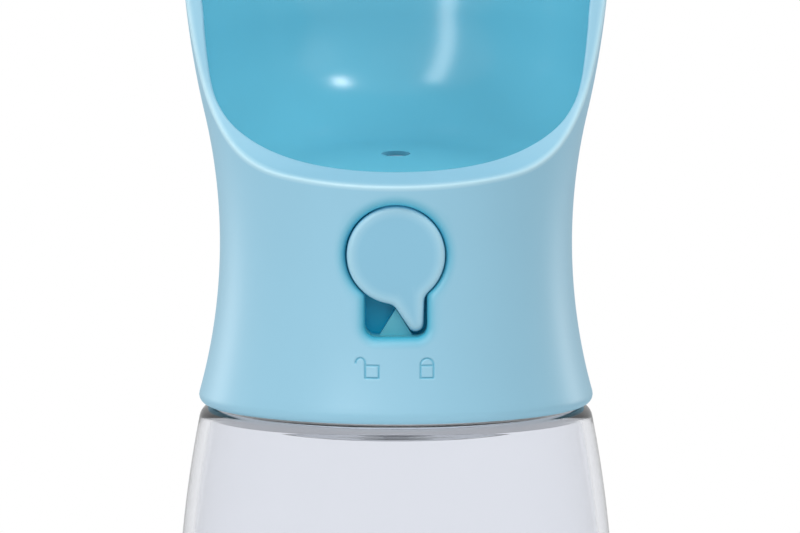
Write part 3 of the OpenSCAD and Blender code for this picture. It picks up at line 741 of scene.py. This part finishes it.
def make_head_shell(material):
    """The shell as one closed form: outside, rim, pocket, inside and the button's opening."""
    form = Form()
    border = shell_outside(form)
    shell_rim(form)
    ceiling = shell_pocket(form)
    inner_border = shell_bay(form, ceiling)
    shell_opening(form, border, inner_border)
    head = form.piece("scoop_head", material, "head_body", "shell_plastic", "head_shell")
    # Painted shade in the opening's flare and the marks' grooves, painted highlight along the rim's outer
    # edge
    keep_painted_light(head, lambda p: front_painted_shade(p) - rim_edge_painted_highlight(p))
    return head


LINER_IN_ROWS, LINER_OUT_ROWS = 70, 30


def make_bowl(material):
    """The liner that covers the pocket, from under the lip to the outlet."""
    form = Form()
    inner = bowl_rows([seam_f + (1 - seam_f) * k for k in np.linspace(0, 1, LINER_IN_ROWS)], 0.0)
    outer = bowl_rows([seam_f + (1 - seam_f) * k for k in np.linspace(1, 0, LINER_OUT_ROWS)], LINER_T)
    form.grid(np.concatenate([inner, outer, inner[:1]]))
    return form.piece("bowl_liner", material, "head_body", "bowl_plastic", "drinking_bowl")


# Button

def button_depth(x, z):
    """Signed distance to the round button with its pointer, about the button's centre."""
    sin, cos = math.sin(POINTER_SWING), math.cos(POINTER_SWING)
    px, pz = x * cos + z * sin, z * cos - x * sin
    lean = np.array([math.cos(POINTER_HALF_ANGLE), -math.sin(POINTER_HALF_ANGLE)])
    sides = np.abs(px) * lean[0] + (pz + POINTER_TIP_D) * lean[1] - POINTER_TIP_R
    tip = np.hypot(px, pz + POINTER_TIP_D) - POINTER_TIP_R
    below = (pz + POINTER_TIP_D) * lean[0] + np.abs(px) * -lean[1] < 0
    pointer = np.maximum(np.where(below, tip, sides), pz)
    return smooth_min(np.hypot(x, z) - BUTTON_R, pointer, POINTER_ROOT_BLEND)


BUTTON_SIDES = 240
POINTER_CROWDING = 0.62
FACE_SHARES = (0.97, 0.92, 0.84, 0.7, 0.4)


def button_painted_light(p):
    """How deep a point lies down the button's side, as painted shade; below zero, a painted highlight near
    the edge of its face.
    """
    side = np.clip((p[:, 1] - BUTTON_FACE_Y - BUTTON_EDGE) / BUTTON_EDGE, 0, 1)
    edge = np.clip(1 + button_depth(p[:, 0], p[:, 2] - BUTTON_Z) / BUTTON_PAINTED_HIGHLIGHT_W, 0, 1)
    return side - np.where(p[:, 1] < BUTTON_FACE_Y + BUTTON_EDGE / 2, edge, 0)


def make_button(material):
    """The button with its pointer, hollowed at the back round the rod's boss for the spring."""
    # More rays where the pointer is
    t = np.linspace(-math.pi, math.pi, BUTTON_SIDES + 1)[:-1]
    turn = t - POINTER_CROWDING * np.sin(t) + math.pi - POINTER_SWING
    rays = np.stack([-np.sin(turn), np.cos(turn)], axis=-1)

    def circle(r, y):
        """Points at the distance r along the rays, in the plane y."""
        return np.stack([r * rays[:, 0], np.full(len(rays), y), BUTTON_Z + r * rays[:, 1]], axis=-1)

    def outline(inset, y):
        """The button's outline drawn in by inset, in the plane y."""
        r = bisect(lambda k: button_depth(k * rays[:, 0], k * rays[:, 1]) + inset,
                   np.zeros(len(rays)), np.full(len(rays), 2 * BUTTON_R))
        return circle(r, y)
    back_y, recess_y = BUTTON_FACE_Y + BUTTON_T, BUTTON_FACE_Y + BUTTON_FACE_T
    boss_r, skirt_r = ROD_R + BUTTON_SKIRT, BUTTON_R - BUTTON_SKIRT
    rows = [circle(ROD_HOLE_R, recess_y), circle(ROD_HOLE_R, back_y), circle(boss_r, back_y),
            circle(boss_r, recess_y), circle(skirt_r, recess_y), circle(skirt_r, back_y),
            outline(BUTTON_BACK_EDGE, back_y), outline(0, back_y - BUTTON_BACK_EDGE)]
    for a in np.linspace(0, math.pi / 2, EDGE_STEPS):
        rows.append(outline(BUTTON_EDGE * (1 - math.cos(a)), BUTTON_FACE_Y + BUTTON_EDGE * (1 - math.sin(a))))
    middle, face_edge = np.array([0, BUTTON_FACE_Y, BUTTON_Z]), rows[-1]
    for k in FACE_SHARES:
        rows.append(middle + k * (face_edge - middle))
    form = Form()
    form.grid(np.stack(rows))
    form.disc(rows[-1])
    form.disc(rows[0])
    button = form.piece("button", material, "button_body", "shell_plastic", "button_cap")
    # Painted shade down the button's side, painted highlight round the edge of its face
    keep_painted_light(button, button_painted_light)
    return button


# Bottle
BOTTLE_R = 36.0
BULGE_Z = 59.0
SHOULDER_Z = 99.7
UPPER_CURVE_R, LOWER_CURVE_R = 202.0, 480.0
BOTTLE_WALL, SHOULDER_WALL = 1.8, 0.8
FOOT_ROUND, SHOULDER_ROUND, INNER_ROUND_MIN = 8.0, 2.2, 0.4
PUSH_UP_R, PUSH_UP_H = 21.5, 3.0
PUSH_UP_EDGE_W, PUSH_UP_EDGE_H, PUSH_UP_SLOPE = 1.5, 0.35, 0.25
FOOT_LIFT = 0.06
AXIS_R = 0.01
NECK_R, NECK_WALL, NECK_H = 24.0, 2.2, 8.6
NECK_ROOT_ROUND, NECK_LIP_ROUND = 0.8, 0.4
BEAD_R, BEAD_Z = 0.95, 97.1
BOTTLE_SIDES = 288


def bottle_curve(w, lid=0.0):
    """The bottle's side from its foot to its shoulder, drawn in by w, and by lid under the shoulder."""
    upper_c = np.array([BOTTLE_R - UPPER_CURVE_R, BULGE_Z])
    lower_c = np.array([BOTTLE_R - LOWER_CURVE_R, BULGE_Z])
    rs, rf = max(SHOULDER_ROUND - w, INNER_ROUND_MIN), FOOT_ROUND - w
    fall = BULGE_Z - w - rf
    foot_c = np.array([lower_c[0] + math.sqrt((LOWER_CURVE_R - w - rf) ** 2 - fall ** 2), w + rf])
    rise = SHOULDER_Z - lid - rs - BULGE_Z
    top_c = np.array([upper_c[0] + math.sqrt((UPPER_CURVE_R - w - rs) ** 2 - rise ** 2), BULGE_Z + rise])
    return np.concatenate([
        arc(foot_c, rf, -math.pi / 2, angle_to(lower_c, foot_c), 12),
        arc(lower_c, LOWER_CURVE_R - w, angle_to(lower_c, foot_c), 0, 24)[1:],
        arc(upper_c, UPPER_CURVE_R - w, 0, angle_to(upper_c, top_c), 24)[1:],
        arc(top_c, rs, angle_to(upper_c, top_c), math.pi / 2, 10)[1:]])


def push_up(w, flat_r):
    """The bottle's raised bottom from its middle outwards, thickened by w."""
    return np.array([
        [AXIS_R, w + PUSH_UP_H], [flat_r, w + PUSH_UP_H],
        [PUSH_UP_R / 3 + 1 + w, w + PUSH_UP_H - PUSH_UP_SLOPE],
        [PUSH_UP_R + w - PUSH_UP_EDGE_W, w + PUSH_UP_EDGE_H], [PUSH_UP_R + w, w + FOOT_LIFT]])


def make_bottle(material):
    """The bottle turned from one profile: outside, neck, a bead at the neck's root, inside."""
    neck_top, neck_ri = SHOULDER_Z + NECK_H, NECK_R - NECK_WALL
    root, lip = NECK_ROOT_ROUND, NECK_LIP_ROUND
    bead_c = np.array([neck_ri + BEAD_R, BEAD_Z])
    root_c = np.array([bead_c[0] + BEAD_R + root, SHOULDER_Z - SHOULDER_WALL - root])
    profile = np.concatenate([
        push_up(0.0, PUSH_UP_R / 3 - 1),
        bottle_curve(0.0),
        arc(np.array([NECK_R + root, SHOULDER_Z + root]), root, -math.pi / 2, -math.pi, 6),
        arc(np.array([NECK_R - lip, neck_top - lip]), lip, 0, math.pi / 2, 5),
        arc(np.array([neck_ri + lip, neck_top - lip]), lip, math.pi / 2, math.pi, 5),
        arc(bead_c, BEAD_R, math.pi, math.pi * 2, 16),
        arc(root_c, root, math.pi, math.pi / 2, 6),
        bottle_curve(BOTTLE_WALL, SHOULDER_WALL)[::-1],
        push_up(BOTTLE_WALL, PUSH_UP_R / 3)[::-1]])
    turn = np.linspace(0, 2 * math.pi, BOTTLE_SIDES + 1)[:-1]
    r, z = profile[:, 0][:, None], profile[:, 1][:, None]
    rows = np.stack([r * np.sin(turn), -r * np.cos(turn), z + 0 * turn], axis=-1)
    form = Form()
    form.grid(rows)
    form.disc(rows[0])
    form.disc(rows[-1])
    return form.piece("clear_bottle", material, "bottle_body", "clear_plastic", "bottle")


# Neck thread; it bites into the neck, so its root is a little wider than it looks
THREAD_START, THREAD_PITCH, THREAD_TURNS = 2.0, 4.0, 1.0
THREAD_DEPTH, THREAD_ROOT, THREAD_CREST = 1.3, 1.9, 0.6
THREAD_BITE = 0.5
THREAD_TAPER, THREAD_END_SHARE = 0.06, 0.4
THREAD_FACING = -math.pi / 2
THREAD_STEPS = 96


def build_thread_tree(material):
    """Geometry Nodes that wind a trapezoid rib round the neck, thinner at both ends."""
    tree = bpy.data.node_groups.new("neck_thread_winding", "GeometryNodeTree")
    sizes = [("Turns", THREAD_TURNS), ("Radius", (NECK_R + (THREAD_DEPTH - THREAD_BITE) / 2) * MM),
             ("Rise", THREAD_PITCH * THREAD_TURNS * MM), ("Height", (THREAD_DEPTH + THREAD_BITE) * MM),
             ("Root", THREAD_ROOT * MM), ("Crest", THREAD_CREST * MM), ("Taper", THREAD_TAPER)]
    tree.interface.new_socket("Geometry", in_out="OUTPUT", socket_type="NodeSocketGeometry")
    for label, value in sizes:
        tree.interface.new_socket(label, in_out="INPUT", socket_type="NodeSocketFloat").default_value = value
    given, out = tree.nodes.new("NodeGroupInput").outputs, tree.nodes.new("NodeGroupOutput")
    spiral = add_node(tree, "GeometryNodeCurveSpiral", [
        ("Resolution", THREAD_STEPS), ("Rotations", given["Turns"]), ("Start Radius", given["Radius"]),
        ("End Radius", given["Radius"]), ("Height", given["Rise"]), ("Reverse", True)])
    upright = add_node(tree, "GeometryNodeSetCurveNormal", [("Curve", spiral.outputs[0])], mode="Z_UP")
    along = tree.nodes.new("GeometryNodeSplineParameter").outputs["Factor"]
    near_end = math_node(tree, "MINIMUM", along, math_node(tree, "SUBTRACT", 1.0, along))
    share = math_node(tree, "DIVIDE", near_end, given["Taper"])
    full = add_node(tree, "ShaderNodeMapRange", [("Value", share), ("To Min", THREAD_END_SHARE)],
                    interpolation_type="SMOOTHSTEP")
    tapered = add_node(tree, "GeometryNodeSetCurveRadius", [
        ("Curve", upright.outputs[0]), ("Radius", full.outputs[0])])
    rib = add_node(tree, "GeometryNodeCurvePrimitiveQuadrilateral", [
        ("Height", given["Height"]), ("Bottom Width", given["Root"]), ("Top Width", given["Crest"]),
        ("Offset", 0.0)], mode="TRAPEZOID")
    stand = add_node(tree, "GeometryNodeTransform", [
        ("Geometry", rib.outputs[0]), ("Rotation", (0.0, 0.0, THREAD_FACING))])
    wound = add_node(tree, "GeometryNodeCurveToMesh", [
        ("Curve", tapered.outputs[0]), ("Profile Curve", stand.outputs[0]), ("Fill Caps", True)])
    placed = add_node(tree, "GeometryNodeTransform", [
        ("Geometry", wound.outputs[0]), ("Translation", (0.0, 0.0, (SHOULDER_Z + THREAD_START) * MM))])
    real = add_node(tree, "GeometryNodeRealizeInstances", [("Geometry", placed.outputs[0])])
    finished = add_node(tree, "GeometryNodeSetMaterial", [
        ("Geometry", real.outputs[0]), ("Material", material)])
    feed(tree, out, [("Geometry", finished.outputs[0])])
    return tree


def make_neck_thread(material):
    """The winding above as a plain mesh on the bottle."""
    holder = bpy.data.objects.new("thread_holder", bpy.data.meshes.new("thread_holder"))
    bpy.context.scene.collection.objects.link(holder)
    winding = holder.modifiers.new("winding", "NODES")
    winding.node_group = build_thread_tree(material)
    ready = holder.evaluated_get(bpy.context.evaluated_depsgraph_get())
    mesh = bpy.data.meshes.new_from_object(ready)
    holder.modifiers.remove(winding)
    bpy.data.objects.remove(holder)
    mesh.name = "neck_thread"
    thread = bpy.data.objects.new("neck_thread", mesh)
    bpy.context.scene.collection.objects.link(thread)
    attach(thread, "bottle_body")
    return thread


# Finishes

MOULD_DRIFT_SCALE, MOULD_GRAIN_SCALE, GRAIN_STEP = 45.0, 2500.0, 0.00002
# Colour, strength and falloff of the painted shade in creases, then colour and strength of the painted
# highlight on edges
PAINTED_SHADE_TINT, PAINTED_SHADE_STRENGTH, PAINTED_SHADE_POWER = (0.03, 0.4, 0.56, 1.0), 0.95, 1.3
PAINTED_HIGHLIGHT_TINT, PAINTED_HIGHLIGHT_STRENGTH = (0.75, 0.96, 1.0, 1.0), 0.3
LINE_SCALE, LINE_STRETCH = 400.0, 14.0
NOISE_LOW, NOISE_HIGH = 0.1, 0.9
STEEL_ROUGH_LOW, STEEL_ROUGH_HIGH = 0.22, 0.38


def new_group(name, inputs, outputs):
    """A shader group: its tree, the sockets of its inputs and its output node."""
    tree = bpy.data.node_groups.new(name, "ShaderNodeTree")
    for label, value in inputs:
        kind = "NodeSocketColor" if isinstance(value, tuple) else "NodeSocketFloat"
        tree.interface.new_socket(label, in_out="INPUT", socket_type=kind).default_value = value
    for label, kind in outputs:
        tree.interface.new_socket(label, in_out="OUTPUT", socket_type=kind)
    return tree, tree.nodes.new("NodeGroupInput").outputs, tree.nodes.new("NodeGroupOutput")


def object_place(tree):
    """Where a point lies on its own piece."""
    return tree.nodes.new("ShaderNodeTexCoord").outputs["Object"]


def noise(tree, vector, scale, detail=3.0):
    """The value of a noise texture."""
    return add_node(tree, "ShaderNodeTexNoise", [
        ("Vector", vector), ("Scale", scale), ("Detail", detail)]).outputs["Fac"]


def mix_colours(tree, factor, a, b):
    """The colour a, turned into b by the factor."""
    return add_node(tree, "ShaderNodeMix", [("Factor", factor), ("A", a), ("B", b)],
                    data_type="RGBA").outputs["Result"]


def two_colours(tree, mask, low, high):
    """Colours from low to high along a mask."""
    ramp = add_node(tree, "ShaderNodeValToRGB", [("Fac", mask)])
    for end, colour in zip(ramp.color_ramp.elements, (low, high)):
        end.color = (*colour, 1)
    return ramp.outputs["Color"]


def build_skin_and_painted_light():
    """Moulded plastic's skin: a slow drift of colour and gloss, and a fine grain, with painted shade in
    creases and a painted highlight on edges.
    """
    tree, given, out = new_group(
        "skin_and_painted_light",
        [("Tint", (0.8, 0.8, 0.8, 1.0)), ("Drift", 0.05), ("Gloss Low", 0.3), ("Gloss High", 0.4),
         ("Grain Scale", MOULD_GRAIN_SCALE), ("Grain Depth", 0.2), ("Painted Shade Tint", PAINTED_SHADE_TINT),
         ("Painted Shade Strength", PAINTED_SHADE_STRENGTH)],
        [("Colour", "NodeSocketColor"), ("Roughness", "NodeSocketFloat"), ("Normal", "NodeSocketVector")])
    place = object_place(tree)
    slow = noise(tree, place, MOULD_DRIFT_SCALE)
    grain = noise(tree, place, given["Grain Scale"], detail=1.0)
    shade = math_node(tree, "MULTIPLY", math_node(tree, "SUBTRACT", slow, 0.5), given["Drift"])
    drifted = add_node(tree, "ShaderNodeHueSaturation", [
        ("Color", given["Tint"]), ("Value", math_node(tree, "ADD", shade, 1.0))])
    gloss = add_node(tree, "ShaderNodeMapRange", [
        ("Value", slow), ("From Min", NOISE_LOW), ("From Max", NOISE_HIGH),
        ("To Min", given["Gloss Low"]), ("To Max", given["Gloss High"])])
    bump = add_node(tree, "ShaderNodeBump", [
        ("Height", grain), ("Strength", given["Grain Depth"]), ("Distance", GRAIN_STEP)])
    # Painted shade where a point lies deep in a crease, and below zero a painted highlight near an edge
    hollow = add_node(tree, "ShaderNodeAttribute", attribute_name="hollow").outputs["Fac"]
    depth = math_node(tree, "POWER", math_node(tree, "MAXIMUM", hollow, 0.0), PAINTED_SHADE_POWER)
    painted_crease_shade = math_node(tree, "MULTIPLY", depth, given["Painted Shade Strength"])
    painted_edge_highlight = math_node(tree, "MAXIMUM", math_node(tree, "MULTIPLY", hollow, -PAINTED_HIGHLIGHT_STRENGTH), 0.0)
    shaded_colour = mix_colours(tree, painted_crease_shade, drifted.outputs["Color"], given["Painted Shade Tint"])
    feed(tree, out, [("Colour", mix_colours(tree, painted_edge_highlight, shaded_colour, PAINTED_HIGHLIGHT_TINT)),
                     ("Roughness", gloss.outputs["Result"]), ("Normal", bump.outputs["Normal"])])
    return tree


def build_drawn_lines():
    """Fine lines along a drawn or turned metal piece, as a mask."""
    tree, given, out = new_group("drawn_lines", [("Line Scale", LINE_SCALE)], [("Lines", "NodeSocketFloat")])
    stretched = add_node(tree, "ShaderNodeMapping", [
        ("Vector", object_place(tree)), ("Scale", (1.0, 1.0, LINE_STRETCH))])
    feed(tree, out, [("Lines", noise(tree, stretched.outputs["Vector"], given["Line Scale"]))])
    return tree


skin_and_painted_light = build_skin_and_painted_light()
drawn_lines = build_drawn_lines()


def new_finish(name, **sockets):
    """A material with its Principled BSDF's own sockets set."""
    mat = bpy.data.materials.new(name)
    mat.use_nodes = True
    shader = mat.node_tree.nodes["Principled BSDF"]
    for label, value in sockets.items():
        shader.inputs[label.replace("_", " ")].default_value = value
    return mat, mat.node_tree, shader


def moulded(name, tint, gloss, drift=0.06, grain_depth=0.2, **sockets):
    """A moulded plastic of one tint; gloss holds its lowest and highest roughness."""
    mat, tree, shader = new_finish(name, **sockets)
    face = add_node(tree, "ShaderNodeGroup", node_tree=skin_and_painted_light)
    feed(tree, face, [("Tint", (*tint, 1.0)), ("Drift", drift), ("Gloss Low", gloss[0]),
                      ("Gloss High", gloss[1]), ("Grain Depth", grain_depth)])
    feed(tree, shader, [("Base Color", face.outputs["Colour"]), ("Roughness", face.outputs["Roughness"]),
                        ("Normal", face.outputs["Normal"])])
    return mat


def pocket_painted_shade_finish(name, deep, shelf):
    """The pocket's plastic with painted light: painted shade gives the far wall a deeper colour, and the
    shelf in front of it is painted lighter.
    """
    mat = moulded(name, deep, (0.3, 0.38))
    tree, shader = mat.node_tree, mat.node_tree.nodes["Principled BSDF"]
    moulded_colour = shader.inputs["Base Color"].links[0].from_socket
    place = add_node(tree, "ShaderNodeSeparateXYZ", [("Vector", object_place(tree))])
    near = add_node(tree, "ShaderNodeMapRange", [
        ("Value", place.outputs["Y"]), ("From Min", -POCKET_FLOOR_D * MM), ("From Max", -SHELF_D * MM)])
    colour = mix_colours(tree, near.outputs["Result"], moulded_colour, (*shelf, 1.0))
    feed(tree, shader, [("Base Color", colour)])
    return mat


def steel_finish(name, low, high):
    """Steel with fine lines of two greys; its gloss follows them."""
    mat, tree, shader = new_finish(name, Metallic=1.0)
    lines = add_node(tree, "ShaderNodeGroup", node_tree=drawn_lines).outputs["Lines"]
    rough = add_node(tree, "ShaderNodeMapRange", [
        ("Value", lines), ("To Min", STEEL_ROUGH_LOW), ("To Max", STEEL_ROUGH_HIGH)])
    feed(tree, shader, [("Base Color", two_colours(tree, lines, low, high)),
                        ("Roughness", rough.outputs["Result"])])
    return mat


shell_satin = moulded("shell_satin", (0.3, 0.57, 0.72), (0.36, 0.44))
button_satin = moulded("button_satin", (0.255, 0.53, 0.69), (0.34, 0.42))
bowl_gloss = moulded("bowl_gloss", (0.13, 0.455, 0.59), (0.17, 0.22), grain_depth=0.03)
inner_white = moulded("inner_white", (0.80, 0.82, 0.84), (0.4, 0.5))
milky_silicone = moulded("milky_silicone", (0.74, 0.76, 0.74), (0.5, 0.6), drift=0.1, IOR=1.41)
clear_plastic = moulded("clear_plastic", (0.87, 0.885, 0.925), (0.0, 0.03), drift=0.02, grain_depth=0.0,
                        IOR=1.49, Transmission_Weight=1.0)
spring_steel = steel_finish("spring_steel", (0.42, 0.43, 0.45), (0.62, 0.63, 0.65))

FINISHES = {"clear_plastic": clear_plastic, "shell_plastic": shell_satin, "bowl_plastic": bowl_gloss,
            "inner_plastic": inner_white, "silicone": milky_silicone, "steel": spring_steel}
for part in frame["record"]["subparts"]:
    node = frame["nodes"][part["node"]]
    node.data.materials.clear()
    node.data.materials.append(FINISHES[part["material_slot"]])
housing_mesh = frame["nodes"]["button_housing"].data
# The button's pocket: deep teal painted shade on its far wall, a lighter painted teal on the shelf
housing_mesh.materials[0] = pocket_painted_shade_finish("pocket_painted_shade", (0.005, 0.66, 0.92), (0.26, 0.88, 1.0))

head = make_head_shell(shell_satin)
bowl = make_bowl(bowl_gloss)
button = make_button(button_satin)
make_bottle(clear_plastic)
make_neck_thread(clear_plastic)

# Floor, light and camera

FLOOR_R, FLOOR_SIDES = 0.55, 96
FLOOR_LOW, FLOOR_HIGH, FLOOR_DRIFT_SCALE = (0.86, 0.86, 0.87), (0.9, 0.9, 0.9), 8.0
STUDIO_TINT, STUDIO_STRENGTH, MIRRORED_WHITE = (0.96, 0.98, 1.0, 1), 0.36, 0.3


def make_floor():
    """A round pale floor, only for the picture."""
    mat, tree, shader = new_finish("pale_floor", Roughness=0.6)
    drift = noise(tree, object_place(tree), FLOOR_DRIFT_SCALE)
    feed(tree, shader, [("Base Color", two_colours(tree, drift, FLOOR_LOW, FLOOR_HIGH))])
    turn = np.linspace(0, 2 * math.pi, FLOOR_SIDES + 1)[:-1]
    edge = [(FLOOR_R * math.cos(a), FLOOR_R * math.sin(a), 0) for a in turn]
    mesh = bpy.data.meshes.new("floor")
    mesh.from_pydata(edge, [], [list(range(FLOOR_SIDES))])
    mesh.materials.append(mat)
    floor = bpy.data.objects.new("floor", mesh)
    bpy.context.scene.collection.objects.link(floor)


def chosen_pieces(name, pieces):
    """The pieces that a lamp lights, or that stand in its way, as a collection."""
    kept = bpy.data.collections.new(name)
    for piece in pieces:
        kept.objects.link(piece)
    return kept


def softbox(name, azimuth, elevation, distance, size, power, mirrored=True,
            lights=None, aim_z=0.14, shaded_by=None):
    """A soft lamp in degrees, metres and watts; azimuth is negative to the camera's left."""
    a, e = math.radians(azimuth), math.radians(elevation)
    away = Vector((math.sin(a) * math.cos(e), -math.cos(a) * math.cos(e), math.sin(e)))
    lamp = bpy.data.lights.new(name, "AREA")
    lamp.shape, lamp.size, lamp.size_y, lamp.energy = "RECTANGLE", size[0], size[1], power
    obj = bpy.data.objects.new(name, lamp)
    obj.location = Vector((0, 0, aim_z)) + away * distance
    obj.rotation_euler = (-away).to_track_quat("-Z", "Y").to_euler()
    obj.visible_glossy = mirrored
    if lights:
        obj.light_linking.receiver_collection = chosen_pieces(name + "_lights", lights)
    if shaded_by:
        obj.light_linking.blocker_collection = chosen_pieces(name + "_shade", shaded_by)
    bpy.context.scene.collection.objects.link(obj)


def make_world():
    """A dim studio that looks white to the camera."""
    world = bpy.data.worlds.new("studio")
    bpy.context.scene.world = world
    world.use_nodes = True
    tree = world.node_tree
    dim = tree.nodes["Background"]
    feed(tree, dim, [("Color", STUDIO_TINT), ("Strength", STUDIO_STRENGTH)])
    white = add_node(tree, "ShaderNodeBackground", [("Color", (1, 1, 1, 1))])
    ray = tree.nodes.new("ShaderNodeLightPath").outputs
    seen = math_node(tree, "MAXIMUM", ray["Is Camera Ray"], ray["Is Transmission Ray"])
    seen = math_node(tree, "MAXIMUM", seen, math_node(tree, "MULTIPLY", ray["Is Glossy Ray"], MIRRORED_WHITE))
    both = add_node(tree, "ShaderNodeMixShader", [
        ("Fac", seen), (1, dim.outputs["Background"]), (2, white.outputs["Background"])])
    feed(tree, tree.nodes["World Output"], [("Surface", both.outputs["Shader"])])


PHOTO_W = 800
PX_PER_MM = 6.1
CAMERA_D = 1.75
CAMERA_TILT = math.radians(6)
CAMERA_AIM = Vector((0.66, 0.0, 122.4)) * MM


def make_camera():
    """A long lens a little above level, that takes in as much as the photo."""
    lens = bpy.data.cameras.new("camera")
    lens.sensor_width = 36.0
    lens.lens = lens.sensor_width * CAMERA_D / (PHOTO_W / PX_PER_MM * MM)
    lens.clip_start, lens.clip_end = 0.05, 20.0
    obj = bpy.data.objects.new("camera", lens)
    back = Vector((0, -math.cos(CAMERA_TILT), math.sin(CAMERA_TILT)))
    obj.location = CAMERA_AIM + back * CAMERA_D
    obj.rotation_euler = (-back).to_track_quat("-Z", "Y").to_euler()
    bpy.context.scene.collection.objects.link(obj)
    bpy.context.scene.camera = obj


make_floor()
outer_blue = [head, button]
softbox("key_light", -31, 33, 1.0, (0.32, 0.5), 2.8, lights=outer_blue)
softbox("top_light", 0, 60, 1.0, (0.8, 0.4), 2.6, lights=outer_blue)
softbox("bowl_light", -31, 18, 1.0, (0.17, 1.5), 5.8, lights=[bowl])
softbox("spot_light", 46, 52, 0.9, (0.09, 0.14), 1.1, lights=[bowl])
softbox("bowl_fill", 52, 22, 1.0, (0.5, 0.5), 3.4, mirrored=False, lights=[bowl])
softbox("bowl_right", -64, 20, 1.0, (0.4, 0.5), 1.2, mirrored=False, lights=[bowl])
softbox("front_light", -6, 28, 1.1, (0.8, 0.5), 1.7, mirrored=False)
softbox("right_light", 70, 36, 1.1, (0.5, 0.5), 2.3, mirrored=False)
softbox("left_light", -80, 36, 1.1, (0.5, 0.5), 2.2, mirrored=False)
softbox("right_edge_light", 128, 12, 1.1, (0.25, 0.8), 2.4, lights=outer_blue)
softbox("left_edge_light", -128, 12, 1.1, (0.25, 0.8), 2.4, lights=outer_blue)
# Light that comes up through the clear bottle
under_collar = [head, button] + [frame["nodes"][n] for n in ("screw_ring", "valve_deck", "neck_gasket")]
softbox("foot_light", 0, -80, 1.0, (0.8, 0.8), 7.0, mirrored=False,
        lights=under_collar, aim_z=0.1, shaded_by=[head])
make_world()
make_camera()
bpy.context.scene.view_settings.view_transform = "Standard"
